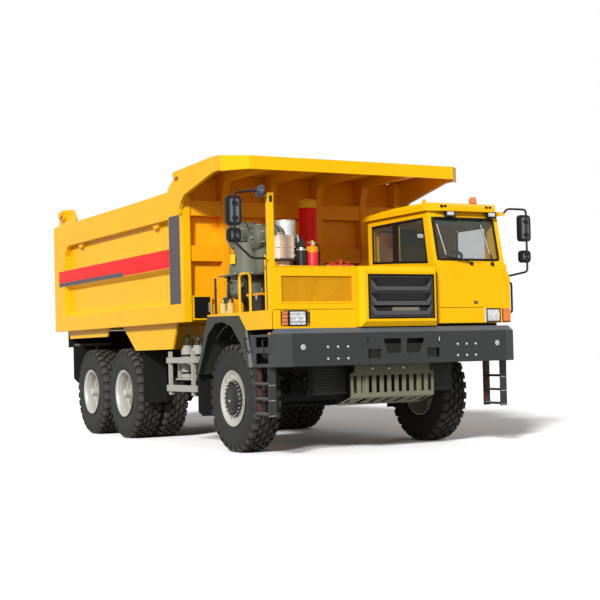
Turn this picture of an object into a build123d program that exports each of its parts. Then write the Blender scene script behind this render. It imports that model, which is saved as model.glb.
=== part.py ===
"""Three-axle mining dump truck with an offset single cab, an open engine bay and a rock bed.

Units are millimetres. X runs across the truck with the cab side positive, Y runs from the bumper
to the tail, and Z is up from the ground. Every place below is measured from the point on the
ground under the middle of the front axle. The finished pieces are then moved along Y, so that the
stored origin lies on the ground under the middle of the whole length.
"""

from build123d import *
import math
import os

# Running gear
WHEELBASE = 3800          # front axle to first rear axle
TANDEM = 1480             # first to second rear axle
FRONT_OVERHANG = 1595     # front axle to bumper face
REAR_OVERHANG = 1360      # last axle to tail
TOTAL_LENGTH = FRONT_OVERHANG + WHEELBASE + TANDEM + REAR_OVERHANG
Y_FRONT_AXLE = FRONT_OVERHANG - TOTAL_LENGTH / 2
AXLE_2 = WHEELBASE
AXLE_3 = WHEELBASE + TANDEM
TYRE_R = 684              # out to the lug tips
TYRE_W = 375
WHEEL_SIDES = 14          # flats round a tyre and its rim, one for each lug
GROOVE_HALF = 34          # half the width of a groove between lugs, at the tread
GROOVE_DEPTH = 32
GROOVE_REACH = 70         # from the tyre's middle to where a groove runs out
RIM_R = 356               # outer edge of the rim flange
SEAT_R = 334              # where the tyre sits on the rim
BARREL_R = 312
SPINDLE_R = 30
FRONT_TYRE_X = 1400       # middle of a front tyre
REAR_TYRE_X = 1415        # middle of an outer rear tyre
DUAL_SPACING = 425        # outer to inner tyre of a pair
FIT_GAP = 0.08            # running clearance on a radius
SLIDE_GAP = 0.3           # between moving faces that pass each other

# Steering
KINGPIN_X = 1320
KINGPIN_R = 28
TRACK_PIN_R = 20
ARM_REACH = 320           # kingpin to tie rod, along Y
ARM_INSET = 150           # kingpin to tie rod, along X
AXLE_EYE_R = 62
AXLE_EYE_Z = (610, 760)
AXLE_BEAM_Z = (616, 720)

# Frame
RAIL_INNER_X = 370
RAIL_W = 110
RAIL_OUTER_X = RAIL_INNER_X + RAIL_W
RAIL_Z = (980, 1340)
RAIL_TAIL_Y = AXLE_3 + 470
RAIL_NOSE_Z = 1100        # underside where the rails taper to the bumper
TAIL_BEAM_Y = (RAIL_TAIL_Y, RAIL_TAIL_Y + 130)
TOW_PIN_R = 22
TOW_PIN_Y = RAIL_TAIL_Y + 270
TOW_JAW_Z = (1040, 1180)
GEARBOX_END = 1250
ENGINE_HALF = 300

# Bumper and side steps
BUMPER_HALF = 1740
BUMPER_Z = (1083, 1471)
BUMPER_Y = -FRONT_OVERHANG
BUMPER_DEPTH = 125
BUMPER_BACK = BUMPER_Y + BUMPER_DEPTH
BUMPER_CORNER = (190, 100)
PLATE = 12                # heavy sheet
SHEET = 8                 # light sheet
STEP_BOX_Y = -863         # rear face of the side step box, at the fender's foot
STEP_BOX_INNER_X = BUMPER_HALF - 340
GUARD_HALF = 605
GUARD_Y = -1300           # rear face of the sump guard's front
LADDER_Y = (-1320, -960)
LADDER_Z = (520, 700, 880)
STRAP_W = 105
STEP_HOLES_Z = [(1120, 1250), (1320, 1440)]

# Front fenders
FENDER_INNER_X = 1100
FENDER_FLANGE = 10
FLAP_Y = 790
FLAP_X = (1230, BUMPER_HALF - 40)
FLAP_Z = (437, 1000)
TAIL_FLAP_X = (900, 1590)
TAIL_FLAP_Y = AXLE_3 + TYRE_R + 206
TAIL_FLAP_Z = (800, 1480)

# Front body
PANEL_Y = -1450           # face of the yellow front panels
PANEL_X = (20 - BUMPER_HALF, -562)
PANEL_Z = (1530, 2270)
DECK_Z = 1755
LAMP_RECESS = 20
LAMP_NICHE_X = (PANEL_X[0] + 100, PANEL_X[0] + 488)
MESH_X = (PANEL_X[0] + 115, PANEL_X[1] - 70)    # window of expanded mesh
MESH_Z = (1842, 2154)
GRILLE_X = (-590, 530)
GRILLE_Y = -1590
GRILLE_Z = (1540, 2270)
LOUVRE_X = (-497, 460)
LOUVRE_Z = (1633, 2173)
LOUVRE_ROWS = [(2010, 2130), (1825, 1945), (1673, 1765)]   # foot and top of each pocket

# Cab
CAB_X = (600, 1690)
CAB_FRONT = -1450
CAB_REAR = 160
CAB_FLOOR = 1755
CAB_TOP = 3000
CAB_WALL = 40
NOSE_X = (634, 1740)
NOSE_Z = (1570, 2310)
DOOR_Y = (-1130, -290)
DOOR_Z = (1810, 2920)
DOOR_GAP = 6
ROOF_X = (560, 1700)
ROOF_Y = (-1350, 230)
ROOF_Z = (3000, 3110)
GLASS_T = 6
MIRROR_REACH = 2250       # outer edge of the mirrors on both sides
DOOR_PIN_R = 6
DOOR_BARREL_R = 11
DOOR_PIN_X = CAB_X[1] + DOOR_BARREL_R + 1
DOOR_PIN_Y = DOOR_Y[0] - DOOR_GAP / 2
DOOR_BARRELS_Z = (1980, 2740)   # foot of each hinge
SIDE_PANES = [                  # right windows as (y, z) outlines
    [(-1255, 2345), (-570, 2385), (-570, 2920), (-1165, 2920)],
    [(-480, 2392), (50, 2420), (50, 2915), (-480, 2920)],
]
REAR_PANE_X = (CAB_X[0] + 150, CAB_X[1] - 150)
REAR_PANE_Z = (2370, 2880)
NOSE_LAMP_X = (1327, 1572)
NOSE_LAMP_Z = (1580, 1752)

# Bed
BED_HALF = 1740
BED_WALL_X = (1630, 1650)   # the side sheet between the rails
BED_Y = (1165, AXLE_3 + REAR_OVERHANG)
BED_RAIL_Z = (1690, 1930)   # bottom rail
MID_RAIL_Z = (2380, 2710)
TOP_RAIL_Z = (3110, 3500)
BED_FLOOR_Z = (1880, 1900)
BED_FLOOR_Y = BED_Y[0] + 13  # clear of the headboard's foot
SILL_X = (370, 480)
SILL_Z = (RAIL_Z[1] + SLIDE_GAP, 1700)
SILL_TAIL_Y = RAIL_TAIL_Y - 50
HEADBOARD_Y = (1085, 1165)  # front of the headboard's ribs and of the floor
HEADBOARD_TOP_Y = 1295      # the wall leans back to here, at the canopy's foot
RIB_X = (370, 1100)         # ribs of the headboard and the canopy, on both sides
CANOPY_FRONT = -547
CANOPY_HALF = 1790
CANOPY_CORNER = (257, 289)  # cut off each front corner, across and along
CANOPY_Z = 3750
HINGE_Y = RAIL_TAIL_Y + 150
HINGE_Z = 1450
HINGE_PIN_R = 30
HINGE_EAR_W = 60
GATE_PIN = (BED_Y[1] - 320, 3660)
GATE_PIN_R = 28

# Hoist
HOIST_Y = 770
HOIST_BASE_Z = 1300
HOIST_TRUNNION_Z = 2000
COVER_R = 120
COVER_Z = (1480, 3270)
COLLAR_Z = (3270, 3350)
TUBE_WALL = 12
TUBE_SIDES = 12
HOIST_PIN_R = 28
HOIST_EAR_X = (70, 90)


def block(x, y, z):
    """A box between low and high values on each axis."""
    size = (x[1] - x[0], y[1] - y[0], z[1] - z[0])
    return Pos((x[0] + x[1]) / 2, (y[0] + y[1]) / 2, (z[0] + z[1]) / 2) * Box(*size)


def prism_x(outline, x):
    """A (y, z) outline pushed from x[0] to x[1]."""
    face = make_face(Polyline(*[(x[0], y, z) for y, z in outline], close=True))
    return extrude(face, amount=x[1] - x[0], dir=(1, 0, 0))


def prism_y(outline, y):
    """An (x, z) outline pushed from y[0] to y[1]."""
    face = make_face(Polyline(*[(x, y[0], z) for x, z in outline], close=True))
    return extrude(face, amount=y[1] - y[0], dir=(0, 1, 0))


def prism_z(outline, z):
    """An (x, y) outline pushed from z[0] to z[1]."""
    face = make_face(Polyline(*[(x, y, z[0]) for x, y in outline], close=True))
    return extrude(face, amount=z[1] - z[0], dir=(0, 0, 1))


def rod_x(radius, x, y, z):
    """A round bar along X."""
    return Pos((x[0] + x[1]) / 2, y, z) * Rot(0, 90, 0) * Cylinder(radius, x[1] - x[0])


def rod_z(radius, x, y, z):
    """A round bar along Z."""
    return Pos(x, y, (z[0] + z[1]) / 2) * Cylinder(radius, z[1] - z[0])


def flat_bar(radius, length, sides):
    """A bar with flat sides along Z, centred on the origin."""
    return extrude(RegularPolygon(radius, sides, rotation=180 / sides), amount=length / 2, both=True)


def bar_x(radius, x, y, z, sides=12):
    """A round piece along X, drawn with flat sides."""
    return Pos((x[0] + x[1]) / 2, y, z) * Rot(0, 90, 0) * flat_bar(radius, x[1] - x[0], sides)


def bar_y(radius, x, y, z, sides=12):
    """A round piece along Y, drawn with flat sides."""
    return Pos(x, (y[0] + y[1]) / 2, z) * Rot(90, 0, 0) * flat_bar(radius, y[1] - y[0], sides)


def bar_z(radius, x, y, z, sides=12):
    """A round piece along Z, drawn with flat sides."""
    return Pos(x, y, (z[0] + z[1]) / 2) * flat_bar(radius, z[1] - z[0], sides)


def bore_x(radius, x, y, z):
    """A hole along X with flat sides that just clear a pin of the radius."""
    return bar_x(radius / math.cos(math.pi / 12), x, y, z)


def bore_z(radius, x, y, z):
    """A hole along Z with flat sides that just clear a pin of the radius."""
    return bar_z(radius / math.cos(math.pi / 12), x, y, z)


def tube(points, radius, ease=0, sides=5):
    """A bent tube with flat sides. Each corner is cut back by the ease."""
    route = [Vector(*points[0])]
    for before, corner, after in zip(points, points[1:], points[2:]):
        corner = Vector(*corner)
        for other in (before, after):
            if ease:
                route.append(corner + (Vector(*other) - corner).normalized() * ease)
        if not ease:
            route.append(corner)
    route.append(Vector(*points[-1]))
    path = Polyline(*route)
    section = Plane(path @ 0, z_dir=path % 0) * RegularPolygon(radius, sides)
    return sweep(section, path=path, transition=Transition.RIGHT)


def turned(profile, sides):
    """A wheel-like piece round the X axis with flat sides, from a closed list of (x, radius).

    The radius is measured to the middle of a flat, and a flat is at the bottom.
    """
    step = 2 * math.pi / sides
    scale = 1 / math.cos(step / 2)

    def corner(x, radius, k):
        angle = (k + 0.5) * step
        return (x, radius * scale * math.sin(angle), -radius * scale * math.cos(angle))

    faces = []
    for (x0, r0), (x1, r1) in zip(profile, profile[1:] + profile[:1]):
        if r0 == 0 and r1 == 0:
            continue
        if x0 == x1 and 0 in (r0, r1):
            faces.append(Face(Wire.make_polygon([corner(x0, max(r0, r1), k) for k in range(sides)])))
            continue
        for k in range(sides):
            points = [corner(x0, r0, k), corner(x1, r1, k), corner(x1, r1, k + 1), corner(x0, r0, k + 1)]
            faces.append(Face(Wire.make_polygon(points)))
    return Solid(Shell(faces))


def other_side(shape):
    """The same piece on the other side of the truck."""
    return mirror(shape, about=Plane.YZ)


def both_sides(shape):
    """A piece and its mirror image, as solids of one node."""
    return Compound([*shape.solids(), *other_side(shape).solids()])


def group(*shapes):
    """Separate solids that share a node."""
    return Compound([solid for shape in shapes for solid in shape.solids()])


def grown(x, amount):
    """A pair of limits moved apart by the amount at both ends."""
    return (x[0] - amount, x[1] + amount)


# Frame, bumper and steps


def frame_rails():
    outline = [
        (BUMPER_Y + SHEET + PLATE, RAIL_NOSE_Z),
        (BUMPER_Y + SHEET + PLATE, RAIL_Z[1]),
        (RAIL_TAIL_Y, RAIL_Z[1]),
        (RAIL_TAIL_Y, RAIL_Z[0]),
        (-1000, RAIL_Z[0]),
        (-1250, RAIL_NOSE_Z),
    ]
    rail = prism_x(outline, (RAIL_INNER_X, RAIL_OUTER_X))
    return both_sides(rail)


def crossmembers():
    """Beams between the rails, the outriggers under the front body, the hoist foot and the tail."""
    inner = (-RAIL_INNER_X, RAIL_INNER_X)
    middle = (AXLE_2 + AXLE_3) / 2
    # columns: y from, y to, z from, z to
    beams = [
        (BUMPER_Y + 35, BUMPER_Y + 195, 1110, 1330),
        (1700, 1820, 1000, 1330),
        (AXLE_2 - 900, AXLE_2 - 780, 1000, 1330),
        (middle - 70, middle + 70, 1000, 1330),
    ]
    parts = [block(inner, (y0, y1), (z0, z1)) for y0, y1, z0, z1 in beams]
    # Beams that carry the front body, each on two pads that stand on the rails
    # columns: y from, y to, z from, z to, half width
    for y0, y1, z0, z1, half in [(-1330, -1240, 1482, 1600, BUMPER_HALF - 140),
                                 (60, 150, 1620, 1740, FENDER_INNER_X)]:
        beam = block((-half, half), (y0, y1), (z0, z1))
        foot = block((RAIL_INNER_X, RAIL_OUTER_X), (y0, y1), (RAIL_Z[1], z0))
        beam += foot + other_side(foot)
        for x in (0.6 * half, half - 60):
            beam += block((x, x + 60), (y0, y1), (z1, CAB_FLOOR))
            beam += block((-x - 60, -x), (y0, y1), (z1, DECK_Z - SHEET))
        parts.append(beam)
    # Outriggers to the side step boxes
    outrigger = block((RAIL_OUTER_X, STEP_BOX_INNER_X), (-1260, -1160), (1120, 1240))
    parts += [outrigger, other_side(outrigger)]
    # Foot of the hoist, a beam with two ears for the base pin
    ear = block(HOIST_EAR_X, (HOIST_Y - 70, HOIST_Y + 70), (1180, 1340))
    foot = block(inner, (HOIST_Y - 80, HOIST_Y + 80), (1110, 1180)) + ear + other_side(ear)
    foot -= bore_x(HOIST_PIN_R + FIT_GAP, (-100, 100), HOIST_Y, HOIST_BASE_Z)
    parts.append(foot)
    parts.append(tail_beam())
    return group(*parts)


def tail_beam():
    """Closing beam at the tail with the bed's hinge ears, a towing clevis and the flap hangers."""
    beam = block((-RAIL_OUTER_X, RAIL_OUTER_X), TAIL_BEAM_Y, (1010, 1330))
    centre = (RAIL_INNER_X + RAIL_OUTER_X) / 2
    ear_x = (centre - HINGE_EAR_W / 2, centre + HINGE_EAR_W / 2)
    ear = prism_x([(TAIL_BEAM_Y[0], 1330), (TAIL_BEAM_Y[1], 1330), (HINGE_Y + 60, HINGE_Z),
                   (HINGE_Y + 40, HINGE_Z + 45), (HINGE_Y - 40, HINGE_Z + 45), (HINGE_Y - 60, HINGE_Z)], ear_x)
    ear -= bore_x(HINGE_PIN_R + FIT_GAP, grown(ear_x, 5), HINGE_Y, HINGE_Z)
    beam += ear + other_side(ear)
    jaw = block((-80, 80), (TAIL_BEAM_Y[1], TOW_PIN_Y + 60), TOW_JAW_Z)
    jaw -= block((-90, 90), (TOW_PIN_Y - 60, TOW_PIN_Y + 70), grown(TOW_JAW_Z, -40))
    jaw -= rod_z(TOW_PIN_R, 0, TOW_PIN_Y, grown(TOW_JAW_Z, 40))
    beam += jaw
    back = TAIL_FLAP_Y - SHEET
    post_x = (TAIL_FLAP_X[0], TAIL_FLAP_X[0] + 60)
    arm = block((RAIL_OUTER_X, post_x[1]), (TAIL_BEAM_Y[1] - 80, TAIL_BEAM_Y[1] - 20), (1240, 1300))
    arm += block(post_x, (TAIL_BEAM_Y[1] - 20, back - PLATE), (1240, 1300))
    arm += block(TAIL_FLAP_X, (back - PLATE, back), (1240, TAIL_FLAP_Z[1]))
    return beam + arm + other_side(arm)


def bumper():
    """Bent plate bumper, open at the back and below, with a raised middle that has the tow openings."""
    cx, cy = BUMPER_CORNER
    face_y = BUMPER_Y + SHEET
    outline = [
        (-BUMPER_HALF, BUMPER_BACK),
        (-BUMPER_HALF, face_y + cy),
        (-BUMPER_HALF + cx, face_y),
        (BUMPER_HALF - cx, face_y),
        (BUMPER_HALF, face_y + cy),
        (BUMPER_HALF, BUMPER_BACK),
    ]
    inner = [
        (-BUMPER_HALF + PLATE, BUMPER_BACK + 1),
        (-BUMPER_HALF + PLATE, face_y + cy + 4),
        (-BUMPER_HALF + cx + 4, face_y + PLATE),
        (BUMPER_HALF - cx - 4, face_y + PLATE),
        (BUMPER_HALF - PLATE, face_y + cy + 4),
        (BUMPER_HALF - PLATE, BUMPER_BACK + 1),
    ]
    shell = prism_z(outline, BUMPER_Z) - prism_z(inner, (BUMPER_Z[0] - 1, BUMPER_Z[1] - PLATE))
    shell += block((-565, 545), (BUMPER_Y, face_y), BUMPER_Z)
    through = (BUMPER_Y - 1, face_y + PLATE + 1)
    # Windows of the middle, as (x, z) outlines: two trapezoids, two slots, two tow openings
    windows = [
        [(-300, 1390), (-45, 1390), (-45, 1213), (-243, 1213)],
        [(35, 1390), (300, 1390), (228, 1213), (35, 1213)],
        *[[(x, 1317), (x + 32, 1317), (x + 32, 1401), (x, 1401)] for x in (-536, 499)],
        *[[(x, 1155), (x + 186, 1155), (x + 186, 1267), (x, 1267)] for x in (-519, 333)],
    ]
    for window in windows:
        shell -= prism_y(window, through)
    return shell


def side_steps():
    """Step box behind each end of the bumper, with a hanging ladder of two straps and three treads."""
    box = block((STEP_BOX_INNER_X, BUMPER_HALF), (BUMPER_BACK, STEP_BOX_Y), BUMPER_Z)
    box -= block((STEP_BOX_INNER_X - 1, BUMPER_HALF - PLATE), (BUMPER_BACK + PLATE, STEP_BOX_Y - PLATE),
                 (BUMPER_Z[0] + PLATE, BUMPER_Z[1] - PLATE))
    for low, high in STEP_HOLES_Z:
        box -= block((BUMPER_HALF - 2 * PLATE, BUMPER_HALF + 1), (-1345, -1020), (low, high))
    strap_x = (BUMPER_HALF - STRAP_W, BUMPER_HALF)
    for y in LADDER_Y:
        box += block(strap_x, (y - 6, y + 6), (LADDER_Z[0] - 25, BUMPER_Z[0]))
    for z in LADDER_Z:
        box += block(strap_x, (LADDER_Y[0] + 6, LADDER_Y[1] - 6), (z - 9, z + 9))
    return both_sides(box)


FENDER_OUTLINE = [(STEP_BOX_Y, 1080), (-765, 1543), (-585, 1716), (354, 1735), (722, 985)]


def front_fenders():
    """Arched plate over each front wheel with a wide flange along its outer edge."""
    inset = [(-845, 1080), (-750, 1537), (-578, 1706), (348, 1725), (704, 985)]
    arch = prism_x(FENDER_OUTLINE, (FENDER_INNER_X, BUMPER_HALF))
    arch -= prism_x([(y, z - 1 if z < 1100 else z) for y, z in inset], (FENDER_INNER_X - 1, BUMPER_HALF + 1))
    opening = [(-800, 1000), (-790, 1080), (-600, 1375), (-350, 1590), (-88, 1653), (120, 1640),
               (360, 1500), (665, 985), (665, 900)]
    flange = prism_x(FENDER_OUTLINE, (BUMPER_HALF - FENDER_FLANGE, BUMPER_HALF))
    flange -= prism_x(opening, (BUMPER_HALF - FENDER_FLANGE - 1, BUMPER_HALF + 1))
    bracket = block(FLAP_X, (704, FLAP_Y - SHEET), (985, FLAP_Z[1]))
    return both_sides(arch + flange + bracket)


def mud_flaps():
    """Rubber flaps with cut lower corners, behind the front wheels and behind the last wheels."""
    flaps = []
    # columns: x limits, rear face, z limits, corner cut
    for x, y, z, cut in [(FLAP_X, FLAP_Y, FLAP_Z, 60), (TAIL_FLAP_X, TAIL_FLAP_Y, TAIL_FLAP_Z, 90)]:
        outline = [(x[0], z[1]), (x[0], z[0]), (x[1] - cut, z[0]), (x[1], z[0] + cut), (x[1], z[1])]
        flap = prism_y(outline, (y - SHEET, y))
        flaps += [flap, other_side(flap)]
    return group(*flaps)


# Front body


def front_panels():
    """Right front panel with its mesh window, the deck behind it and the fender's side skirt."""
    panel = block(PANEL_X, (PANEL_Y, PANEL_Y + 30), PANEL_Z)
    panel -= block(MESH_X, (PANEL_Y - 1, PANEL_Y + 31), MESH_Z)
    panel -= block(LAMP_NICHE_X, (PANEL_Y - 1, PANEL_Y + LAMP_RECESS), (1565, 1745))
    panel += block((PANEL_X[0] + 60, PANEL_X[1] - 60), (PANEL_Y + 30, PANEL_Y + 60), (PANEL_Z[1] - 30, PANEL_Z[1]))
    deck = block((-BUMPER_HALF, -640), (PANEL_Y + 30, 354), (DECK_Z - SHEET, DECK_Z))
    skirt_outline = [(PANEL_Y, PANEL_Z[0]), (PANEL_Y, DECK_Z), (354, DECK_Z), *reversed(FENDER_OUTLINE[1:4]),
                     (-768, PANEL_Z[0])]
    skirt = prism_x(skirt_outline, (-BUMPER_HALF, -BUMPER_HALF + SHEET))
    return panel + deck + skirt


def grille_block():
    """Protruding surround of the grille with bevelled edges, hollow and open at the back."""
    body = block(GRILLE_X, (GRILLE_Y, PANEL_Y), GRILLE_Z)
    body = chamfer(body.faces().sort_by(Axis.Y)[0].edges(), 60, 45)
    body -= block(grown(GRILLE_X, -PLATE), (GRILLE_Y + 60, PANEL_Y + 1), grown(GRILLE_Z, -PLATE))
    body -= block(LOUVRE_X, (GRILLE_Y - 1, GRILLE_Y + 61), LOUVRE_Z)
    return body


def grille():
    """Moulded grille: three boat-shaped pockets between bars whose ends sweep up to the frame."""
    x0, x1 = LOUVRE_X
    plate = block((x0, x1), (GRILLE_Y + 4, GRILLE_Y + 60), LOUVRE_Z)
    plate -= block((x0 + 25, x1 - 25), (GRILLE_Y, GRILLE_Y + 14), (LOUVRE_Z[0] + 20, LOUVRE_Z[1] - 20))
    for low, high in LOUVRE_ROWS:
        top = (x0 + 62, x1 - 47)
        foot = (x0 + 132, x1 - 117)
        plate -= prism_y([(top[0], high), (top[1], high), (foot[1], low), (foot[0], low)],
                         (GRILLE_Y, GRILLE_Y + 45))
        bar = prism_x([(GRILLE_Y + 14, low - 38), (GRILLE_Y - 4, low - 30), (GRILLE_Y - 4, low - 12),
                       (GRILLE_Y + 14, low)], (foot[0] - 12, foot[1] + 12))
        for end, tip in ((foot[0], x0 + 25), (foot[1], x1 - 25)):
            out = 12 if tip > end else -12
            wing = prism_y([(end + out, low - 38), (end + out, low), (tip, high - 14), (tip, high - 55)],
                           (GRILLE_Y, GRILLE_Y + 14))
            bar += wing
        plate += bar
    return plate


def sump_guard():
    """Slatted guard below the bumper with a slotted belly plate that slopes back."""
    half = GUARD_HALF
    front = block((-half, half), (GUARD_Y - PLATE, GUARD_Y), (690, 980))
    front += block((-half + 40, half - 40), (GUARD_Y - PLATE, GUARD_Y + 40), (980, 992))
    flange = block((-545, 545), (GUARD_Y - PLATE, GUARD_Y), (992, 1085))
    belly = prism_x([(GUARD_Y - PLATE, 690), (GUARD_Y, 690), (-960, 590), (-960, 578),
                     (GUARD_Y - PLATE, 678)], (-half, half))
    for count, cut_y, cut_z in [(11, (GUARD_Y - 20, GUARD_Y + 10), (735, 945)), (7, (-1260, -1010), (550, 700))]:
        pitch = 1.8 * half / (count - 1)
        for n in range(count):
            x = n * pitch - 0.9 * half
            slot = block((x - 0.2 * pitch - 4, x + 0.2 * pitch + 4), cut_y, cut_z)
            if count == 11:
                front -= slot
            else:
                belly -= slot
    cheek = prism_x([(GUARD_Y, 690), (-960, 590), (-960, RAIL_Z[0]), (-1010, RAIL_Z[0]),
                     (-1240, 1091), (GUARD_Y, RAIL_NOSE_Z - 9)], (RAIL_INNER_X + 40, RAIL_INNER_X + 60))
    return front + flange + belly + cheek + other_side(cheek)


def engine():
    """Engine with its sump and gearbox as one plain mass, and the radiator in front of it."""
    half = ENGINE_HALF
    mass = block((-half, half), (-1080, 40), (1020, 1900))
    mass += block((-230, 230), (-700, 20), (880, 1020))
    mass += block((-200, 200), (40, GEARBOX_END), (800, 1100))
    for side in (-1, 1):
        mass += block(sorted((side * half, side * 100)), (-1000, -40), (1900, 2050))
        mass += block(sorted((side * half, side * RAIL_INNER_X)), (-500, -300), (1120, 1300))
    core = block((-560, 500), (PANEL_Y, PANEL_Y + 130), (1600, 2240))
    shroud = bar_y(300, -30, (PANEL_Y + 130, PANEL_Y + 260), 1920)
    shroud -= bar_y(285, -30, (PANEL_Y + 130, PANEL_Y + 261), 1920)
    return group(mass, core + shroud)


def air_intake():
    """Two air filters that face outwards over a grey housing, with the wide duct down to the engine."""
    edge = -BUMPER_HALF
    shelf = block((edge + 120, edge + 680), (-330, 330), (2240, 2265))
    housing = block((edge + 220, edge + 640), (-260, 300), (1950, 2240))
    whole = shelf + housing
    for x in (edge + 260, edge + 540):
        for y in (-240, 220):
            whole += block((x, x + 60), (y, y + 60), (DECK_Z, 1950))
    # columns: x of the outer face, length, y, z, radius
    filters = [(edge + 395, 400, -200, 2716, 165), (edge + 300, 380, 190, 2770, 180)]
    for x, length, y, z, radius in filters:
        whole += bar_x(radius, (x + 20, x + length), y, z)
        whole += bar_x(radius * 0.86, (x, x + 20), y, z)
        whole += bar_z(radius * 0.62, x + 140, y, (2265, z - 0.5 * radius), 8)
    stack_x = edge + 867
    whole += bar_z(135, stack_x, -200, (2600, 2940))
    whole += tube([(stack_x, -200, 2690), (stack_x + 220, -200, 2690), (stack_x + 220, -200, 1960),
                   (-ENGINE_HALF, -200, 1960)], 85, 60, 8)
    return whole


def coolant_tank():
    """White header tank with its filler cap, on a stand in front of the filters."""
    edge = -BUMPER_HALF
    tank = block((edge + 395, edge + 630), (-900, -730), (2385, 2690))
    tank = chamfer(tank.edges(), 22)
    tank += bar_z(34, edge + 470, -815, (2680, 2722), 10)
    return tank + block((edge + 450, edge + 580), (-850, -780), (DECK_Z, 2395))


def extinguisher():
    """Tall extinguisher bottle with its valve, and the slim canister beside it."""
    x = 929 - BUMPER_HALF
    bottle = bar_z(76, x, -800, (DECK_Z, 2500), 10) + bar_z(60, x, -800, (2500, 2560), 10)
    bottle += bar_z(22, x, -800, (2560, 2640), 6) + block((x - 69, x + 51), (-812, -788), (2600, 2618))
    canister = bar_z(66, x - 157, -800, (DECK_Z, 2520), 10) + bar_z(30, x - 157, -800, (2520, 2545), 6)
    return group(bottle, canister)


def post_and_rails():
    """Mirror post on the deck's front corner, the guard rails and the small fittings beside them."""
    edge = -BUMPER_HALF
    post = block((edge + 5, edge + 75), (PANEL_Y + 30, PANEL_Y + 100), (DECK_Z, 3118))
    rail_x = edge + 40
    rail = tube([(rail_x, -830, DECK_Z), (rail_x, -830, 2225), (rail_x, -535, 2225), (rail_x, -535, DECK_Z)], 18, 45)
    thin = bar_z(12, rail_x, -1243, (DECK_Z, 2410), 6)
    case = block((edge + 110, edge + 400), (-980, -640), (DECK_Z, 1950))
    case += block((edge + 90, edge + 420), (-1000, -620), (1950, 1975))
    parts = [post, rail, thin, case]
    # Two filter bowls with their stems
    for y in (-105, 110):
        parts.append(bar_z(44, edge + 120, y, (DECK_Z, 1880), 10) + bar_z(18, edge + 120, y, (1880, 1935), 8))
    stem = bar_z(14, edge + 120, 345, (DECK_Z, 2225), 6) + block((edge + 100, edge + 140), (290, 360), (2225, 2240))
    return group(*parts, stem)


def mirror_head(x, y, z):
    head = block(x, y, z)
    return chamfer(head.edges().filter_by(Axis.Y), 25)


def mirrors():
    """Mirror heads on their bent arms, on the right post and on the cab's left front pillar."""
    y = PANEL_Y + 60
    post_x = 5 - BUMPER_HALF
    reach = MIRROR_REACH - 90
    knee = (reach - post_x) / 2
    right = tube([(post_x, y, 3096), (-reach, y, 3096), (-reach, y, 2540), (-knee, y, 2358), (post_x, y, 2358)], 14, 30)
    right += mirror_head((-MIRROR_REACH, -MIRROR_REACH + 195), (y + 10, y + 70), (2740, 3080))
    right += mirror_head((-MIRROR_REACH + 10, -MIRROR_REACH + 185), (y + 10, y + 70), (2540, 2710))
    spot = Pos(post_x - 92, y - 10, 3140) * Rot(90, 0, 0) * flat_bar(82, 24, 12)
    right += spot + block((post_x - 110, post_x - 80), (y - 10, y + 10), (3060, 3100))
    y = PANEL_Y + 160
    wall = CAB_X[1]
    left = tube([(wall, y, 2985), (wall + 90, y, 2985), (wall + 160, y, 3060), (reach, y, 3060), (reach, y, 2240),
                 (wall + 160, y, 2180), (wall, y, 2180)], 14, 28)
    left += mirror_head((MIRROR_REACH - 195, MIRROR_REACH), (y + 10, y + 70), (2641, 2991))
    left += mirror_head((MIRROR_REACH - 185, MIRROR_REACH - 10), (y + 10, y + 70), (2361, 2522))
    nose = NOSE_X[1]
    grab = tube([(nose, -1340, 1700), (nose + 110, -1340, 1700), (nose + 110, -1340, 2090), (nose, -1340, 2090)], 14, 40)
    return group(right, left, grab)


# Cab


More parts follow.
